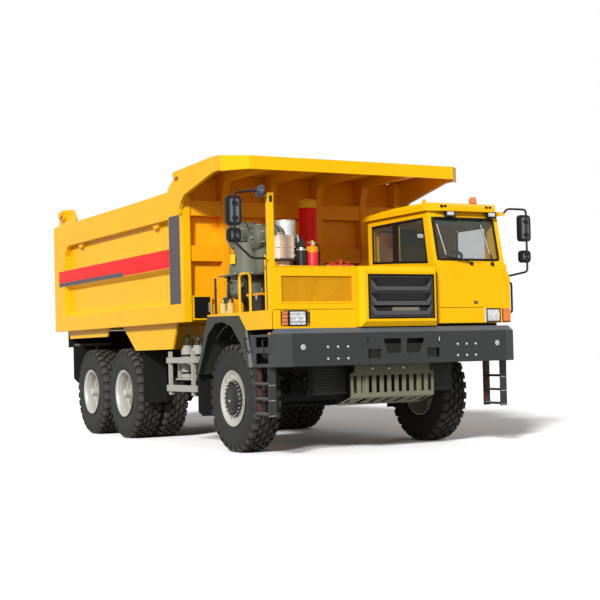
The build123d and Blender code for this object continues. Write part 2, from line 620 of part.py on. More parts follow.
def cab_body():
    """Cab shell with its wider nose, window openings and door opening."""
    x0, x1 = CAB_X
    profile = [(CAB_FRONT, NOSE_Z[0]), (CAB_FRONT, NOSE_Z[1]), (-1400, 2345), (-1260, CAB_TOP),
               (CAB_REAR, CAB_TOP), (CAB_REAR, CAB_FLOOR), (-1340, CAB_FLOOR), (-1340, NOSE_Z[0])]
    shell = prism_x(profile, CAB_X)
    nose_edge = [(x1 - 1, NOSE_Z[0]), (NOSE_X[1], NOSE_Z[0]), (NOSE_X[1], 2145), (x1 - 1, 2250)]
    shell += prism_y(nose_edge, (CAB_FRONT, -1340))
    cavity = [(CAB_FRONT + CAB_WALL, CAB_FLOOR + CAB_WALL), (CAB_FRONT + CAB_WALL, NOSE_Z[1] - 10),
              (-1360, 2345), (-1225, CAB_TOP - CAB_WALL), (CAB_REAR - CAB_WALL, CAB_TOP - CAB_WALL),
              (CAB_REAR - CAB_WALL, CAB_FLOOR + CAB_WALL)]
    shell -= prism_x(cavity, grown(CAB_X, -CAB_WALL))
    lower = [(CAB_FRONT + SHEET, NOSE_Z[0] - 1), (CAB_FRONT + SHEET, CAB_FLOOR),
             (-1340 - SHEET, CAB_FLOOR), (-1340 - SHEET, NOSE_Z[0] - 1)]
    shell -= prism_x(lower, (x0 + SHEET, x1 - SHEET))
    # Windscreen, right windows, rear window and door opening
    shell -= block((x0 + 52, x1 - 30 - CAB_WALL), (CAB_FRONT - 10, -1180), (2365, 2925))
    for pane in SIDE_PANES:
        shell -= prism_x(pane, (x0 - 1, x0 + CAB_WALL + 1))
    shell -= block(REAR_PANE_X, (CAB_REAR - CAB_WALL - 1, CAB_REAR + 1), REAR_PANE_Z)
    shell -= block((x1 - CAB_WALL - 1, x1 + 1), grown(DOOR_Y, DOOR_GAP), grown(DOOR_Z, DOOR_GAP))
    for z in DOOR_BARRELS_Z:
        shell += rod_z(DOOR_PIN_R, DOOR_PIN_X, DOOR_PIN_Y, (z, z + 180))
        for low, high in [(z, z + 60 - SLIDE_GAP), (z + 120 + SLIDE_GAP, z + 180)]:
            shell += bar_z(DOOR_BARREL_R, DOOR_PIN_X, DOOR_PIN_Y, (low, high), 8)
            shell += block((x1, DOOR_PIN_X), (DOOR_PIN_Y - 70, DOOR_PIN_Y - 5), (low, high))
    shell -= block(NOSE_LAMP_X, (CAB_FRONT - 1, CAB_FRONT + SHEET + 1), NOSE_LAMP_Z)
    return shell


def cab_roof():
    """Roof cap with a visor over the windscreen, a crown that falls to the back and a rain lip."""
    x0, x1 = ROOF_X
    y0, y1 = ROOF_Y
    z0, z1 = ROOF_Z
    plan = [(x0, y0 + 65), (x0 + 285, y0), (x1 - 90, y0), (x1, y0 + 120), (x1, y1), (x0, y1)]
    side = [(y0, z0), (y0, z1 - 50), (y0 + 90, z1), (-500, z1), (y1 - 60, z1 - 45), (y1, z1 - 80), (y1, z0)]
    crown = [(x0, z0), (x0, z1 - 45), (x0 + 45, z1), (x1 - 45, z1), (x1, z1 - 45), (x1, z0)]
    cap = prism_z(plan, ROOF_Z) & prism_x(side, ROOF_X) & prism_y(crown, ROOF_Y)
    for x, y in ((x0 + 208, 73), (x0 + 30, -1228), (x1 - 170, 73)):
        cap += block((x - 8, x + 8), (y - 30, y + 30), (z1 - 60, z1 + 35))
    return cap


def cab_glass():
    """Windscreen, right panes and rear pane, seated in their openings."""
    x0, x1 = CAB_X
    slope = math.degrees(math.atan2(140, CAB_TOP - 2345))
    screen_h = 555 / math.cos(math.radians(slope))
    middle_z = (2365 + 2925) / 2
    middle_y = -1400 + (middle_z - 2345) * 140 / (CAB_TOP - 2345) + 18
    width = x1 - 30 - CAB_WALL - x0 - 52 - 1
    screen = Pos(x0 + 52 + (width + 1) / 2, middle_y, middle_z) * Rot(-slope, 0, 0) * Box(width, GLASS_T, screen_h)
    panes = [screen]
    panes += [prism_x(pane, (x0 + 10, x0 + 10 + GLASS_T)) for pane in SIDE_PANES]
    panes.append(block(REAR_PANE_X, (CAB_REAR - 20, CAB_REAR - 20 + GLASS_T), REAR_PANE_Z))
    return group(*panes)


def cab_interior():
    """Driver's seat, and the dashboard with its steering wheel."""
    x0, x1 = CAB_X
    seat_x = (x0 + 290, x0 + 790)
    seat = block((seat_x[0] + 120, seat_x[1] - 120), (-420, -120), (CAB_FLOOR + CAB_WALL, 2080))
    seat += block(seat_x, (-520, -60), (2080, 2200))
    seat += prism_x([(-150, 2200), (-60, 2200), (20, 2780), (-50, 2780)], seat_x)
    seat += prism_x([(-45, 2780), (15, 2780), (30, 2900), (-30, 2900)], (seat_x[0] + 120, seat_x[1] - 120))
    dash = prism_x([(-1409, 1900), (-1409, 2290), (-1250, 2290), (-1130, 2160), (-1180, 1900)],
                   (x0 + CAB_WALL, x1 - CAB_WALL))
    hub = Pos(x0 + 540, -900, 2400) * Rot(-30, 0, 0)
    column = hub * Pos(0, 0, -280) * flat_bar(35, 560, 8)
    wheel = hub * (flat_bar(226, 28, 12) - flat_bar(196, 30, 12))
    spoke = hub * Box(410, 40, 16)
    return group(seat, dash + column + wheel + spoke)


def cab_door():
    """Left door, as thick as the wall, with its window cut and two hinge barrels."""
    x1 = CAB_X[1]
    door = block((x1 - CAB_WALL, x1), DOOR_Y, DOOR_Z)
    door -= block((x1 - CAB_WALL - 1, x1 + 1), (DOOR_Y[0] + 80, DOOR_Y[1] - 80), (2370, DOOR_Z[1] - 70))
    for z in DOOR_BARRELS_Z:
        span = (z + 60, z + 120)
        leaf = block((x1, DOOR_PIN_X), (DOOR_PIN_Y + 5, DOOR_PIN_Y + 75), span)
        barrel = bar_z(DOOR_BARREL_R, DOOR_PIN_X, DOOR_PIN_Y, span, 8) + leaf
        door += barrel - bore_z(DOOR_PIN_R + FIT_GAP, DOOR_PIN_X, DOOR_PIN_Y, grown(span, 1))
    handle_y = (DOOR_Y[1] - 200, DOOR_Y[1] - 70)
    return door + block((x1, x1 + 22), handle_y, (2190, 2220))


def door_glass():
    x1 = CAB_X[1]
    return block((x1 - 22, x1 - 22 + GLASS_T), (DOOR_Y[0] + 80, DOOR_Y[1] - 80), (2370, DOOR_Z[1] - 70))


def lamps_clear():
    """Headlamps in the front panels and work lamps under the visor."""
    edge = PANEL_X[0]
    parts = [block((edge + 217, edge + 434), (PANEL_Y - 4, PANEL_Y + LAMP_RECESS), (1572, 1735)),
             block(NOSE_LAMP_X, (CAB_FRONT - 4, CAB_FRONT + 40), NOSE_LAMP_Z)]
    for x in (910, 1560):
        parts.append(block((x - 62, x + 62), (-1340, -1290), (2940, ROOF_Z[0])))
    return group(*parts)


def lamps_amber():
    """Indicators and the roof beacon."""
    edge = PANEL_X[0]
    parts = [block((edge + 110, edge + 190), (PANEL_Y - 4, PANEL_Y + LAMP_RECESS), (1572, 1735)),
             block((1612, 1708), (CAB_FRONT - 20, CAB_FRONT), (1590, 1750))]
    beacon = bar_z(48, 1405, -1150, (ROOF_Z[1], 3190)) + bar_z(34, 1405, -1150, (3190, 3212))
    return group(*parts, beacon)


# Side equipment


def side_rack():
    """Open rack of two rails on the right side with two upright bottles behind it."""
    rail_y = (960, 1970)
    rails = block((-1650, -1600), rail_y, (1140, 1217)) + block((-1650, -1600), rail_y, (750, 837))
    for y in (1080, 1860):
        rails += block((-1640, -1600), (y, y + 60), (700, 1300))
        rails += block((-1600, -RAIL_OUTER_X), (y, y + 60), (1150, 1210))
    rails += block((-1560, -1340), (1140, 1860), (905, 925))
    rails += block((-1500, -1440), (1080, 1140), (905, 1210)) + block((-1500, -1440), (1860, 1920), (905, 1210))
    for y in (1330, 1680):
        rails += bar_z(85, -1450, y, (925, 1340), 10) + bar_z(60, -1450, y, (1340, 1380), 10)
        rails += bar_z(20, -1450, y, (1380, 1500), 6)
    return rails


def fuel_tank():
    """Fuel tank on the left side with its two straps to the frame."""
    x0, x1, z0, z1 = 1150, 1680, 640, 1160
    far, near = 125, 36
    tank = prism_y([(x0 + far, z0), (x1 - far, z0), (x1 - near, z0 + near), (x1, z0 + far), (x1, z1 - far),
                    (x1 - near, z1 - near), (x1 - far, z1), (x0 + far, z1), (x0 + near, z1 - near), (x0, z1 - far),
                    (x0, z0 + far), (x0 + near, z0 + near)], (1150, 2250))
    for y in (1350, 2000):
        tank += block((RAIL_OUTER_X, 1400), (y, y + 70), (1160, 1230)) + block((1200, 1400), (y, y + 70), (1100, 1230))
    return tank


# Axles and wheels


def front_axle():
    """Dropped beam with an eye for the kingpin at each end."""
    beam = block((30 - KINGPIN_X, KINGPIN_X - 30), (-70, 70), AXLE_BEAM_Z)
    for side in (-1, 1):
        beam += bar_z(AXLE_EYE_R, side * KINGPIN_X, 0, AXLE_EYE_Z)
        beam -= bore_z(KINGPIN_R + FIT_GAP, side * KINGPIN_X, 0, grown(AXLE_EYE_Z, 5))
    return beam


def springs():
    """Leaf springs over the front axle and over the rear pair of axles."""
    x = (RAIL_INNER_X + 5, RAIL_OUTER_X - 5)
    front = prism_x([(-780, 980), (-780, 930), (-120, 720), (120, 720), (780, 930), (780, 980),
                     (700, 980), (120, 860), (-120, 860), (-700, 980)], x)
    middle = (AXLE_2 + AXLE_3) / 2
    rear = prism_x([(AXLE_2 - 60, 790), (AXLE_3 + 60, 790), (AXLE_3 + 60, 830), (middle + 150, 980),
                    (middle - 150, 980), (AXLE_2 - 60, 830)], x)
    return group(front, other_side(front), rear, other_side(rear))


def rear_axles():
    """Two axle housings with their differentials and the shafts between them."""
    shaft_z = TYRE_R + 60
    end = REAR_TYRE_X + 175
    whole = None
    for y in (AXLE_2, AXLE_3):
        housing = bar_x(100, (-780, 780), y, TYRE_R, 8)
        housing += rod_x(SPINDLE_R, (780, end), y, TYRE_R) + rod_x(SPINDLE_R, (-end, -780), y, TYRE_R)
        housing += bar_x(230, (-130, 130), y, TYRE_R, 10)
        for side in (-1, 1):
            centre = side * (RAIL_INNER_X + RAIL_OUTER_X) / 2
            housing += block((centre - 50, centre + 50), (y - 60, y + 60), (TYRE_R, 790))
        whole = housing if whole is None else whole + housing
    whole += bar_y(55, 0, (AXLE_2, AXLE_3), shaft_z, 6)
    shaft = tube([(0, GEARBOX_END, 900), (0, GEARBOX_END + 160, 900), (0, AXLE_2, shaft_z)], 55, 0, 6)
    return whole + shaft


def tyre():
    """A tyre out to its lug tips, at the origin, with a row of lugs on each shoulder."""
    half = TYRE_W / 2
    outer = [(half * 0.76, SEAT_R), (half, 500), (half * 0.82, TYRE_R)]
    body = turned([(-x, r) for x, r in outer] + [(x, r) for x, r in reversed(outer)], WHEEL_SIDES)
    tip = TYRE_R + 40
    groove = [(-1.6 * GROOVE_HALF, tip), (1.6 * GROOVE_HALF, tip), (0, TYRE_R - GROOVE_DEPTH)]
    cut = prism_x(groove, (GROOVE_REACH, half + 5)) + prism_x(groove, (-half - 5, -GROOVE_REACH))
    for n in range(WHEEL_SIDES):
        body -= Rot((n + 0.5) * 360 / WHEEL_SIDES, 0, 0) * cut
    return body


def front_rim():
    """Disc wheel that bulges outwards to a hub, on the positive side of the origin."""
    seat = SEAT_R - SLIDE_GAP
    rim = turned([(-150, BARREL_R + 10), (-150, seat), (150, seat), (178, RIM_R), (178, RIM_R - 16),
                  (150, BARREL_R), (140, 200), (190, 150), (205, 100), (205, 0), (60, 0), (60, 140),
                  (122, BARREL_R)], WHEEL_SIDES)
    return rim - bore_x(SPINDLE_R + FIT_GAP, (50, 195), 0, 0)


def rear_rim():
    """Twin rim with a deep outer dish and a long hub, the outer tyre's middle at the origin."""
    back = -DUAL_SPACING
    seat = SEAT_R - SLIDE_GAP
    rim = turned([(back - 150, BARREL_R + 8), (back - 150, seat), (150, seat), (186, RIM_R), (186, RIM_R - 16),
                  (156, BARREL_R), (-80, BARREL_R - 12), (-100, 190), (50, 140), (190, 95), (190, 0),
                  (back - 60, 0), (back - 60, 90), (-130, 110), (-150, BARREL_R - 20)], WHEEL_SIDES)
    return rim - bore_x(SPINDLE_R + FIT_GAP, (back - 70, 176), 0, 0)


def knuckle(side):
    """Forked knuckle with its kingpin, spindle and steering arm."""
    x = side * KINGPIN_X
    fork_x = sorted((x - side * 50, x + side * 105))
    low = (AXLE_EYE_Z[0] - SLIDE_GAP - 40, AXLE_EYE_Z[0] - SLIDE_GAP)
    high = (AXLE_EYE_Z[1] + SLIDE_GAP, AXLE_EYE_Z[1] + SLIDE_GAP + 40)
    web_x = sorted((x + side * 75, x + side * 105))
    body = block(fork_x, (-55, 55), low) + block(fork_x, (-55, 55), high)
    body += block(web_x, (-55, 55), (low[0], high[1]))
    body += rod_z(KINGPIN_R, x, 0, (low[0], high[1]))
    spindle_x = sorted((x + side * 105, side * (FRONT_TYRE_X + 195 - 2 * SLIDE_GAP)))
    body += rod_x(SPINDLE_R, spindle_x, 0, TYRE_R)
    end = x - side * ARM_INSET
    arm = prism_z([(x, 40), (x - side * 40, -40), (end - side * 30, 60), (end - side * 30, ARM_REACH),
                   (end + side * 22, ARM_REACH), (end + side * 22, 110)], low)
    body += arm + bar_z(TRACK_PIN_R + 14, end, ARM_REACH, low)
    return body


def tie_rod():
    """Rod under the two steering arms."""
    end = KINGPIN_X - ARM_INSET
    top = AXLE_EYE_Z[0] - SLIDE_GAP - 40 - SLIDE_GAP
    rod = bar_x(22, (-end + 10, end - 10), ARM_REACH, top - 25, 8)
    rod += rod_z(TRACK_PIN_R, -end, ARM_REACH, (top - 50, top)) + bar_z(TRACK_PIN_R, end, ARM_REACH, (top - 50, top))
    return rod


# Bed


def bed_frame():
    """Longitudinal sills, cross beams and floor plate, with the hinge plates at the tail."""
    sill = block(SILL_X, (HEADBOARD_Y[0], SILL_TAIL_Y), SILL_Z)
    floor = sill + other_side(sill)
    floor += block((-BED_WALL_X[0], BED_WALL_X[0]), (BED_FLOOR_Y, BED_Y[1] - 100), BED_FLOOR_Z)
    count = 8
    pitch = (BED_Y[1] - 200 - BED_FLOOR_Y) / (count - 1)
    for n in range(count):
        y = BED_FLOOR_Y + n * pitch
        floor += block((-BED_WALL_X[0], BED_WALL_X[0]), (y, y + 90), (SILL_Z[1], BED_FLOOR_Z[0]))
    centre = (RAIL_INNER_X + RAIL_OUTER_X) / 2
    inner = HINGE_EAR_W / 2 + SLIDE_GAP
    for offset in (-1, 1):
        plate_x = sorted((centre + offset * inner, centre + offset * (inner + 25)))
        plate = prism_x([(HINGE_Y - 250, BED_FLOOR_Z[0]), (HINGE_Y - 250, SILL_Z[1]), (HINGE_Y - 200, 1500),
                         (HINGE_Y - 50, HINGE_Z - 50), (HINGE_Y + 50, HINGE_Z - 50),
                         (HINGE_Y + 200, SILL_Z[1]), (HINGE_Y + 200, BED_FLOOR_Z[0])], plate_x)
        floor += plate + other_side(plate)
    pin = rod_x(HINGE_PIN_R, (centre - 55, centre + 55), HINGE_Y, HINGE_Z)
    return floor + pin + other_side(pin)


def side_profile():
    """Outline of a bed side in (y, z), from the tail's foot round to the headboard."""
    tail = BED_Y[1]
    return [(tail, BED_RAIL_Z[0]), (tail, 3420), (tail - 64, 3668), (tail - 200, 3745), (tail - 460, 3745),
            (tail - 802, 3709), (tail - 965, 3548), (tail - 857, 3480), (1570, TOP_RAIL_Z[1] + 20),
            (HEADBOARD_TOP_Y, 3690), (HEADBOARD_Y[0], 3690), (HEADBOARD_Y[0], BED_RAIL_Z[0])]


def bed_sides():
    """Side sheets with their folded rails, the curved rear post, the skirts and the gate's ears."""
    tail = BED_Y[1]
    inner, outer = BED_WALL_X[1], BED_HALF
    proud = (inner, outer)
    front = HEADBOARD_Y[0]
    side = prism_x(side_profile(), BED_WALL_X)
    # Rails as (x, z) sections, each with its length along Y
    low, mid, top = BED_RAIL_Z, MID_RAIL_Z, TOP_RAIL_Z
    side += prism_y([(inner, low[0]), (outer, low[0]), (outer, low[1]), (inner, low[1] + 80)], (front, tail))
    side += prism_y([(inner, mid[0]), (outer, mid[0] + 57), (outer, mid[1]), (inner, mid[1])], (front, tail))
    side += prism_y([(inner, top[0]), (outer, top[0]), (outer, top[1] - 25), (inner, top[1])], (1570, tail - 560))
    side += prism_x([(front, low[0]), (1570, low[0]), (1570, top[1] + 20), (HEADBOARD_TOP_Y, 3690), (front, 3690)],
                    proud)
    rear_post = [(tail - 546, low[0]), (tail, low[0]), (tail, 3420), (tail - 40, top[1] - 25), (tail - 1150, top[1] - 25),
                 (tail - 1150, 3118), (tail - 834, 3122), (tail - 674, 3074), (tail - 577, 2942), (tail - 546, 2734)]
    side += prism_x(rear_post, proud)
    for y in (2000, tail - 1410):
        side += prism_x([(y, top[0]), (y + 260, top[0]), (y + 190, 3035), (y + 70, 3035)], (inner, inner + 55))
    side += bar_x(95, (inner, inner + 40), *GATE_PIN)
    side -= bore_x(GATE_PIN_R + FIT_GAP, (BED_WALL_X[0] - 1, outer + 1), *GATE_PIN)
    # Skirts under the bottom rail, ahead of the rear wheels and above them
    skirt = prism_x([(AXLE_2 - 110, low[0]), (AXLE_2 - 623, 1327), (1794, 1331), (1600, low[0])], (1600, 1630))
    skirt += prism_x([(AXLE_3 + 1010, low[0]), (AXLE_3 + 920, 1560), (AXLE_2 + 600, 1560), (AXLE_2 + 500, low[0])],
                     (1604, 1630))
    skirt += block((1604, inner), (1600, AXLE_2 - 110), (low[0], low[0] + 10))
    skirt += block((1604, inner), (AXLE_2 + 500, AXLE_3 + 1010), (low[0], low[0] + 10))
    return both_sides(side + skirt)


def headboard():
    """Front wall of the bed, leaning back, with its bands, ribs and the hoist's bracket."""
    half = BED_WALL_X[0]
    foot_z, top_z = BED_RAIL_Z[0] + 10, 3718
    foot_y = HEADBOARD_Y[1]
    lean = (HEADBOARD_TOP_Y - foot_y) / (top_z - foot_z)

    def rear(z):
        return foot_y - 10 + lean * (z - foot_z)

    wall = prism_x([(foot_y - 20, foot_z), (foot_y, foot_z), (HEADBOARD_TOP_Y, top_z), (HEADBOARD_TOP_Y - 20, top_z)],
                   (-half, half))
    front = HEADBOARD_Y[0]
    for low, high in [(foot_z, BED_RAIL_Z[1]), (2510, 2720), (3125, 3330)]:
        wall += prism_x([(front + 20, low), (rear(low), low), (rear(high), high), (front + 20, high)], (-half, half))
    for x in (*RIB_X, *(-x for x in RIB_X)):
        wall += prism_x([(front, foot_z), (rear(foot_z), foot_z), (rear(3700), 3700), (1000, 3700), (1000, 3620),
                         (front, 3400)], (x - 50, x + 50))
    cheek_x = (160 + SLIDE_GAP, 185)
    cheek = prism_x([(rear(1800), 1800), (rear(2200), 2200), (700, 2060), (700, 1940)], cheek_x)
    return wall + cheek + other_side(cheek)


def canopy():
    """Rock guard over the bay with its cut front corners, ribs below and a cheek at each side."""
    back = HEADBOARD_TOP_Y - 22
    nose = CANOPY_HALF - CANOPY_CORNER[0]
    heel = CANOPY_FRONT + CANOPY_CORNER[1]
    plan = [(-CANOPY_HALF, back), (-CANOPY_HALF, heel), (-nose, CANOPY_FRONT), (nose, CANOPY_FRONT),
            (CANOPY_HALF, heel), (CANOPY_HALF, back)]
    lip = CANOPY_FRONT + 25
    sheet = [(CANOPY_FRONT, 3702), (-63, CANOPY_Z), (back, 3718), (back, 3700), (-63, 3725), (lip, 3680),
             (lip, 3534), (CANOPY_FRONT, 3534)]
    outline = prism_z(plan, (3000, 4000))
    roof = prism_x(sheet, (-CANOPY_HALF, CANOPY_HALF)) & outline
    # Folded rim along the cut corners
    rim = prism_z([(CANOPY_HALF, heel), (nose, CANOPY_FRONT), (nose, lip + 5), (CANOPY_HALF, heel + 30)],
                  (3534, 3702))
    roof += rim + other_side(rim)
    cheek = [(HEADBOARD_Y[0], 3130), (1078, 3200), (1040, 3270), (908, 3370), (-28, 3551), (heel, 3551),
             (heel, 3715), (-63, 3735), (back, 3708), (back, 3640), (HEADBOARD_Y[0], 3640)]
    side = prism_x(cheek, (BED_HALF, CANOPY_HALF))
    roof += side + other_side(side)
    for x in (*RIB_X, *(-x for x in RIB_X)):
        rib = [(lip, 3590), (lip, 3685), (-63, 3726), (1000, 3705), (1000, 3590)]
        roof += prism_x(rib, (x - 60, x + 60))
    return roof


def bed_flaps():
    """Rubber flaps that hang from the bed in front of the first rear wheels."""
    y = AXLE_2 - TYRE_R - 128
    flap = block((1225, 1598), (y - SHEET, y), (560, 1500))
    hanger = block((1225, 1598), (y - SHEET - 20, y - SHEET), (1440, BED_FLOOR_Z[0]))
    return both_sides(flap + hanger)


def tailgate():
    """Ribbed gate hung from pins in the ears of the bed sides."""
    half = BED_WALL_X[0] - 8
    tail = BED_Y[1]
    gate = block((-half, half), (tail - 90, tail - 70), (BED_FLOOR_Z[1] + 10, 3400))
    for z in (BED_FLOOR_Z[1] + 10, 2560, 3250):
        gate += prism_x([(tail - 70, z), (tail - 5, z + 20), (tail - 5, z + 130), (tail - 70, z + 150)], (-half, half))
    for x in (-900, 0, 900):
        gate += block((x - 40, x + 40), (tail - 70, tail - 20), (BED_FLOOR_Z[1] + 10, 3400))
    for side in (-1, 1):
        arm_x = sorted((side * half, side * (half - 40)))
        y, z = GATE_PIN
        gate += prism_x([(y - 50, z - 20), (y - 20, z + 50), (y + 30, z + 50), (y + 60, z), (tail - 5, 3400),
                         (tail - 5, 3250), (tail - 90, 3250), (tail - 90, 3400)], arm_x)
        pin_x = sorted((side * half, side * (BED_WALL_X[1] + 50)))
        gate += rod_x(GATE_PIN_R, pin_x, y, z)
    return gate


# Hoist


def tube_z(outer, inner, z):
    """An upright hoist tube with flat sides."""
    return bar_z(outer, 0, HOIST_Y, z, TUBE_SIDES) - bar_z(inner, 0, HOIST_Y, grown(z, 1), TUBE_SIDES)


def stage_radii():
    """Outer and inner radius of the base tube and the two stages inside it."""
    radii = []
    outer = COVER_R - TUBE_WALL - SLIDE_GAP
    for _ in range(3):
        radii.append((outer, outer - TUBE_WALL))
        outer -= TUBE_WALL + SLIDE_GAP
    return radii


def hoist_base():
    outer, inner = stage_radii()[0]
    base = tube_z(outer, inner, (1420, 3150)) + bar_z(outer, 0, HOIST_Y, (1390, 1420), TUBE_SIDES)
    ear = HOIST_EAR_X[0] - SLIDE_GAP
    foot = bar_x(60, (-ear, ear), HOIST_Y, HOIST_BASE_Z) + block((-50, 50), (HOIST_Y - 50, HOIST_Y + 50),
                                                               (HOIST_BASE_Z, 1390))
    return base + foot + rod_x(HOIST_PIN_R, (-95, 95), HOIST_Y, HOIST_BASE_Z)


def hoist_stage(number):
    outer, inner = stage_radii()[number]
    return tube_z(outer, inner, (1420 + SLIDE_GAP, 3150 + 20 * number))


def hoist_cover():
    """Outer cover with its trunnions, carried by the smallest rod and capped by a collar."""
    rod = stage_radii()[2][1] - SLIDE_GAP
    cover = tube_z(COVER_R, COVER_R - TUBE_WALL, COVER_Z)
    cover += bar_z(COVER_R + 6, 0, HOIST_Y, COLLAR_Z, TUBE_SIDES)
    cover += bar_z(rod, 0, HOIST_Y, (1430, COLLAR_Z[0]), TUBE_SIDES)
    trunnion = bar_x(HOIST_PIN_R, (COVER_R - TUBE_WALL, 160), HOIST_Y, HOIST_TRUNNION_Z)
    return cover + trunnion + other_side(trunnion)


def wheel_nodes():
    """Tyre and rim of every wheel, named by its axle and side."""
    nodes = {}
    one_tyre, disc, twin = tyre(), front_rim(), rear_rim()
    for side, word in ((-1, "right"), (1, "left")):
        place = Pos(side * FRONT_TYRE_X, 0, TYRE_R)
        nodes[f"tyre_front_{word}"] = place * one_tyre
        nodes[f"rim_front_{word}"] = place * (disc if side > 0 else other_side(disc))
        for axle, y in (("middle", AXLE_2), ("rear", AXLE_3)):
            outer = Pos(side * REAR_TYRE_X, y, TYRE_R)
            inner = Pos(side * (REAR_TYRE_X - DUAL_SPACING), y, TYRE_R)
            nodes[f"tyres_{axle}_{word}"] = group(outer * one_tyre, inner * one_tyre)
            nodes[f"rim_{axle}_{word}"] = outer * (twin if side > 0 else other_side(twin))
    return nodes


def all_nodes():
    nodes = {
        "frame_rails": frame_rails(),
        "crossmembers": crossmembers(),
        "bumper": bumper(),
        "side_steps": side_steps(),
        "front_fenders": front_fenders(),
        "mud_flaps": mud_flaps(),
        "front_panels": front_panels(),
        "grille_block": grille_block(),
        "grille": grille(),
        "sump_guard": sump_guard(),
        "engine": engine(),
        "air_intake": air_intake(),
        "coolant_tank": coolant_tank(),
        "extinguisher": extinguisher(),
        "post_and_rails": post_and_rails(),
        "mirrors": mirrors(),
        "cab_body": cab_body(),
        "cab_roof": cab_roof(),
        "cab_glass": cab_glass(),
        "cab_interior": cab_interior(),
        "cab_door": cab_door(),
        "door_glass": door_glass(),
        "lamps_clear": lamps_clear(),
        "lamps_amber": lamps_amber(),
        "side_rack": side_rack(),
        "fuel_tank": fuel_tank(),
        "front_axle": front_axle(),
        "springs": springs(),
        "rear_axles": rear_axles(),
        "knuckle_right": knuckle(-1),
        "knuckle_left": knuckle(1),
        "tie_rod": tie_rod(),
        "bed_frame": bed_frame(),
        "bed_sides": bed_sides(),
        "headboard": headboard(),
        "canopy": canopy(),
        "bed_flaps": bed_flaps(),
        "tailgate": tailgate(),
        "hoist_base": hoist_base(),
        "hoist_stage_1": hoist_stage(1),
        "hoist_stage_2": hoist_stage(2),
        "hoist_cover": hoist_cover(),
    }
    nodes.update(wheel_nodes())
    return nodes


def main():
    os.makedirs("parts", exist_ok=True)
    for name, shape in all_nodes().items():
        export_step(Pos(0, Y_FRONT_AXLE, 0) * shape, f"parts/{name}.step")


if __name__ == "__main__":
    main()
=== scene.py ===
"""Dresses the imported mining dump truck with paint, tread, glazing, trim, bolts and pipes.

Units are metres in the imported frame: X towards the truck's left, Y towards the tail, Z up. Places along
the truck are written from the front axle, as in the part's source, and moved by Y0.
"""

import math

import bmesh
import bpy
from mathutils import Matrix, Vector


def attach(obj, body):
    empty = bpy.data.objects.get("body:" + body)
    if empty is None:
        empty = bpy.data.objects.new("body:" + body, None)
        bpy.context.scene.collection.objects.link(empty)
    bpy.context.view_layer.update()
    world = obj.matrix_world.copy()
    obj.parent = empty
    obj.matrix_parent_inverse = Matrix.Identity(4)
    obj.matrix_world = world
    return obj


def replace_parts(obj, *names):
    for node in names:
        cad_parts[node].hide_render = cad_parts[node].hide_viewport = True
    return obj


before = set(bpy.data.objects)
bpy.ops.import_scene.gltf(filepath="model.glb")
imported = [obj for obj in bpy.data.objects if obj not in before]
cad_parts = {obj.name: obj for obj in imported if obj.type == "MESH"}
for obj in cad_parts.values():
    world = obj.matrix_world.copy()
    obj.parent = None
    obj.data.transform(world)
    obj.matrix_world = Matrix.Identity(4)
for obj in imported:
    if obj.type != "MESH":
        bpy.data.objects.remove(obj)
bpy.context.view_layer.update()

Y0 = -2.5225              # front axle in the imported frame


# Materials

MATERIALS = {}
GRAIN = 0.0006            # height of the finest bumps in paint and metal


def new_material(name):
    """The tree and the Principled shader of a new material."""
    mat = bpy.data.materials.new(name)
    mat.use_nodes = True
    MATERIALS[name] = mat
    return mat.node_tree, mat.node_tree.nodes["Principled BSDF"]


def add(tree, kind, **values):
    """A node with its sockets or properties set by name."""
    node = tree.nodes.new(kind)
    for key, value in values.items():
        if key in node.inputs:
            node.inputs[key].default_value = value
        else:
            setattr(node, key, value)
    return node


def noise(tree, scale, detail=4.0):
    """Noise in the piece's own coordinates."""
    coord = add(tree, "ShaderNodeTexCoord")
    node = add(tree, "ShaderNodeTexNoise", Scale=scale, Detail=detail, Roughness=0.55)
    tree.links.new(coord.outputs["Object"], node.inputs["Vector"])
    return node.outputs["Fac"]


def ramp(tree, source, low, high):
    """A grey ramp between two (position, value) stops."""
    node = add(tree, "ShaderNodeValToRGB")
    for element, (place, value) in zip(node.color_ramp.elements, (low, high)):
        element.position = place
        element.color = (value, value, value, 1)
    tree.links.new(source, node.inputs["Fac"])
    return node.outputs["Color"]


def mix(tree, amount, first, second):
    """A colour between two; the first may be a socket."""
    node = add(tree, "ShaderNodeMix", data_type="RGBA")
    tree.links.new(amount, node.inputs[0])
    if isinstance(first, bpy.types.NodeSocket):
        tree.links.new(first, node.inputs[6])
    else:
        node.inputs[6].default_value = (*first, 1)
    node.inputs[7].default_value = (*second, 1)
    return node.outputs[2]


def mottle(tree, source, low, high, colour, shade):
    """The colour, with a darker shade of it where the source is high."""
    return mix(tree, ramp(tree, source, (low, 0.0), (high, 1.0)), colour, tuple(c * shade for c in colour))


def bump(tree, shader, height, strength, distance):
    node = add(tree, "ShaderNodeBump", Strength=strength, Distance=distance)
    tree.links.new(height, node.inputs["Height"])
    tree.links.new(node.outputs["Normal"], shader.inputs["Normal"])
    return node


def srgb(*values):
    """Linear colour from 0-255 display values."""
    parts = [value / 255 for value in values]
    return tuple(c / 12.92 if c <= 0.04045 else ((c + 0.055) / 1.055) ** 2.4 for c in parts)


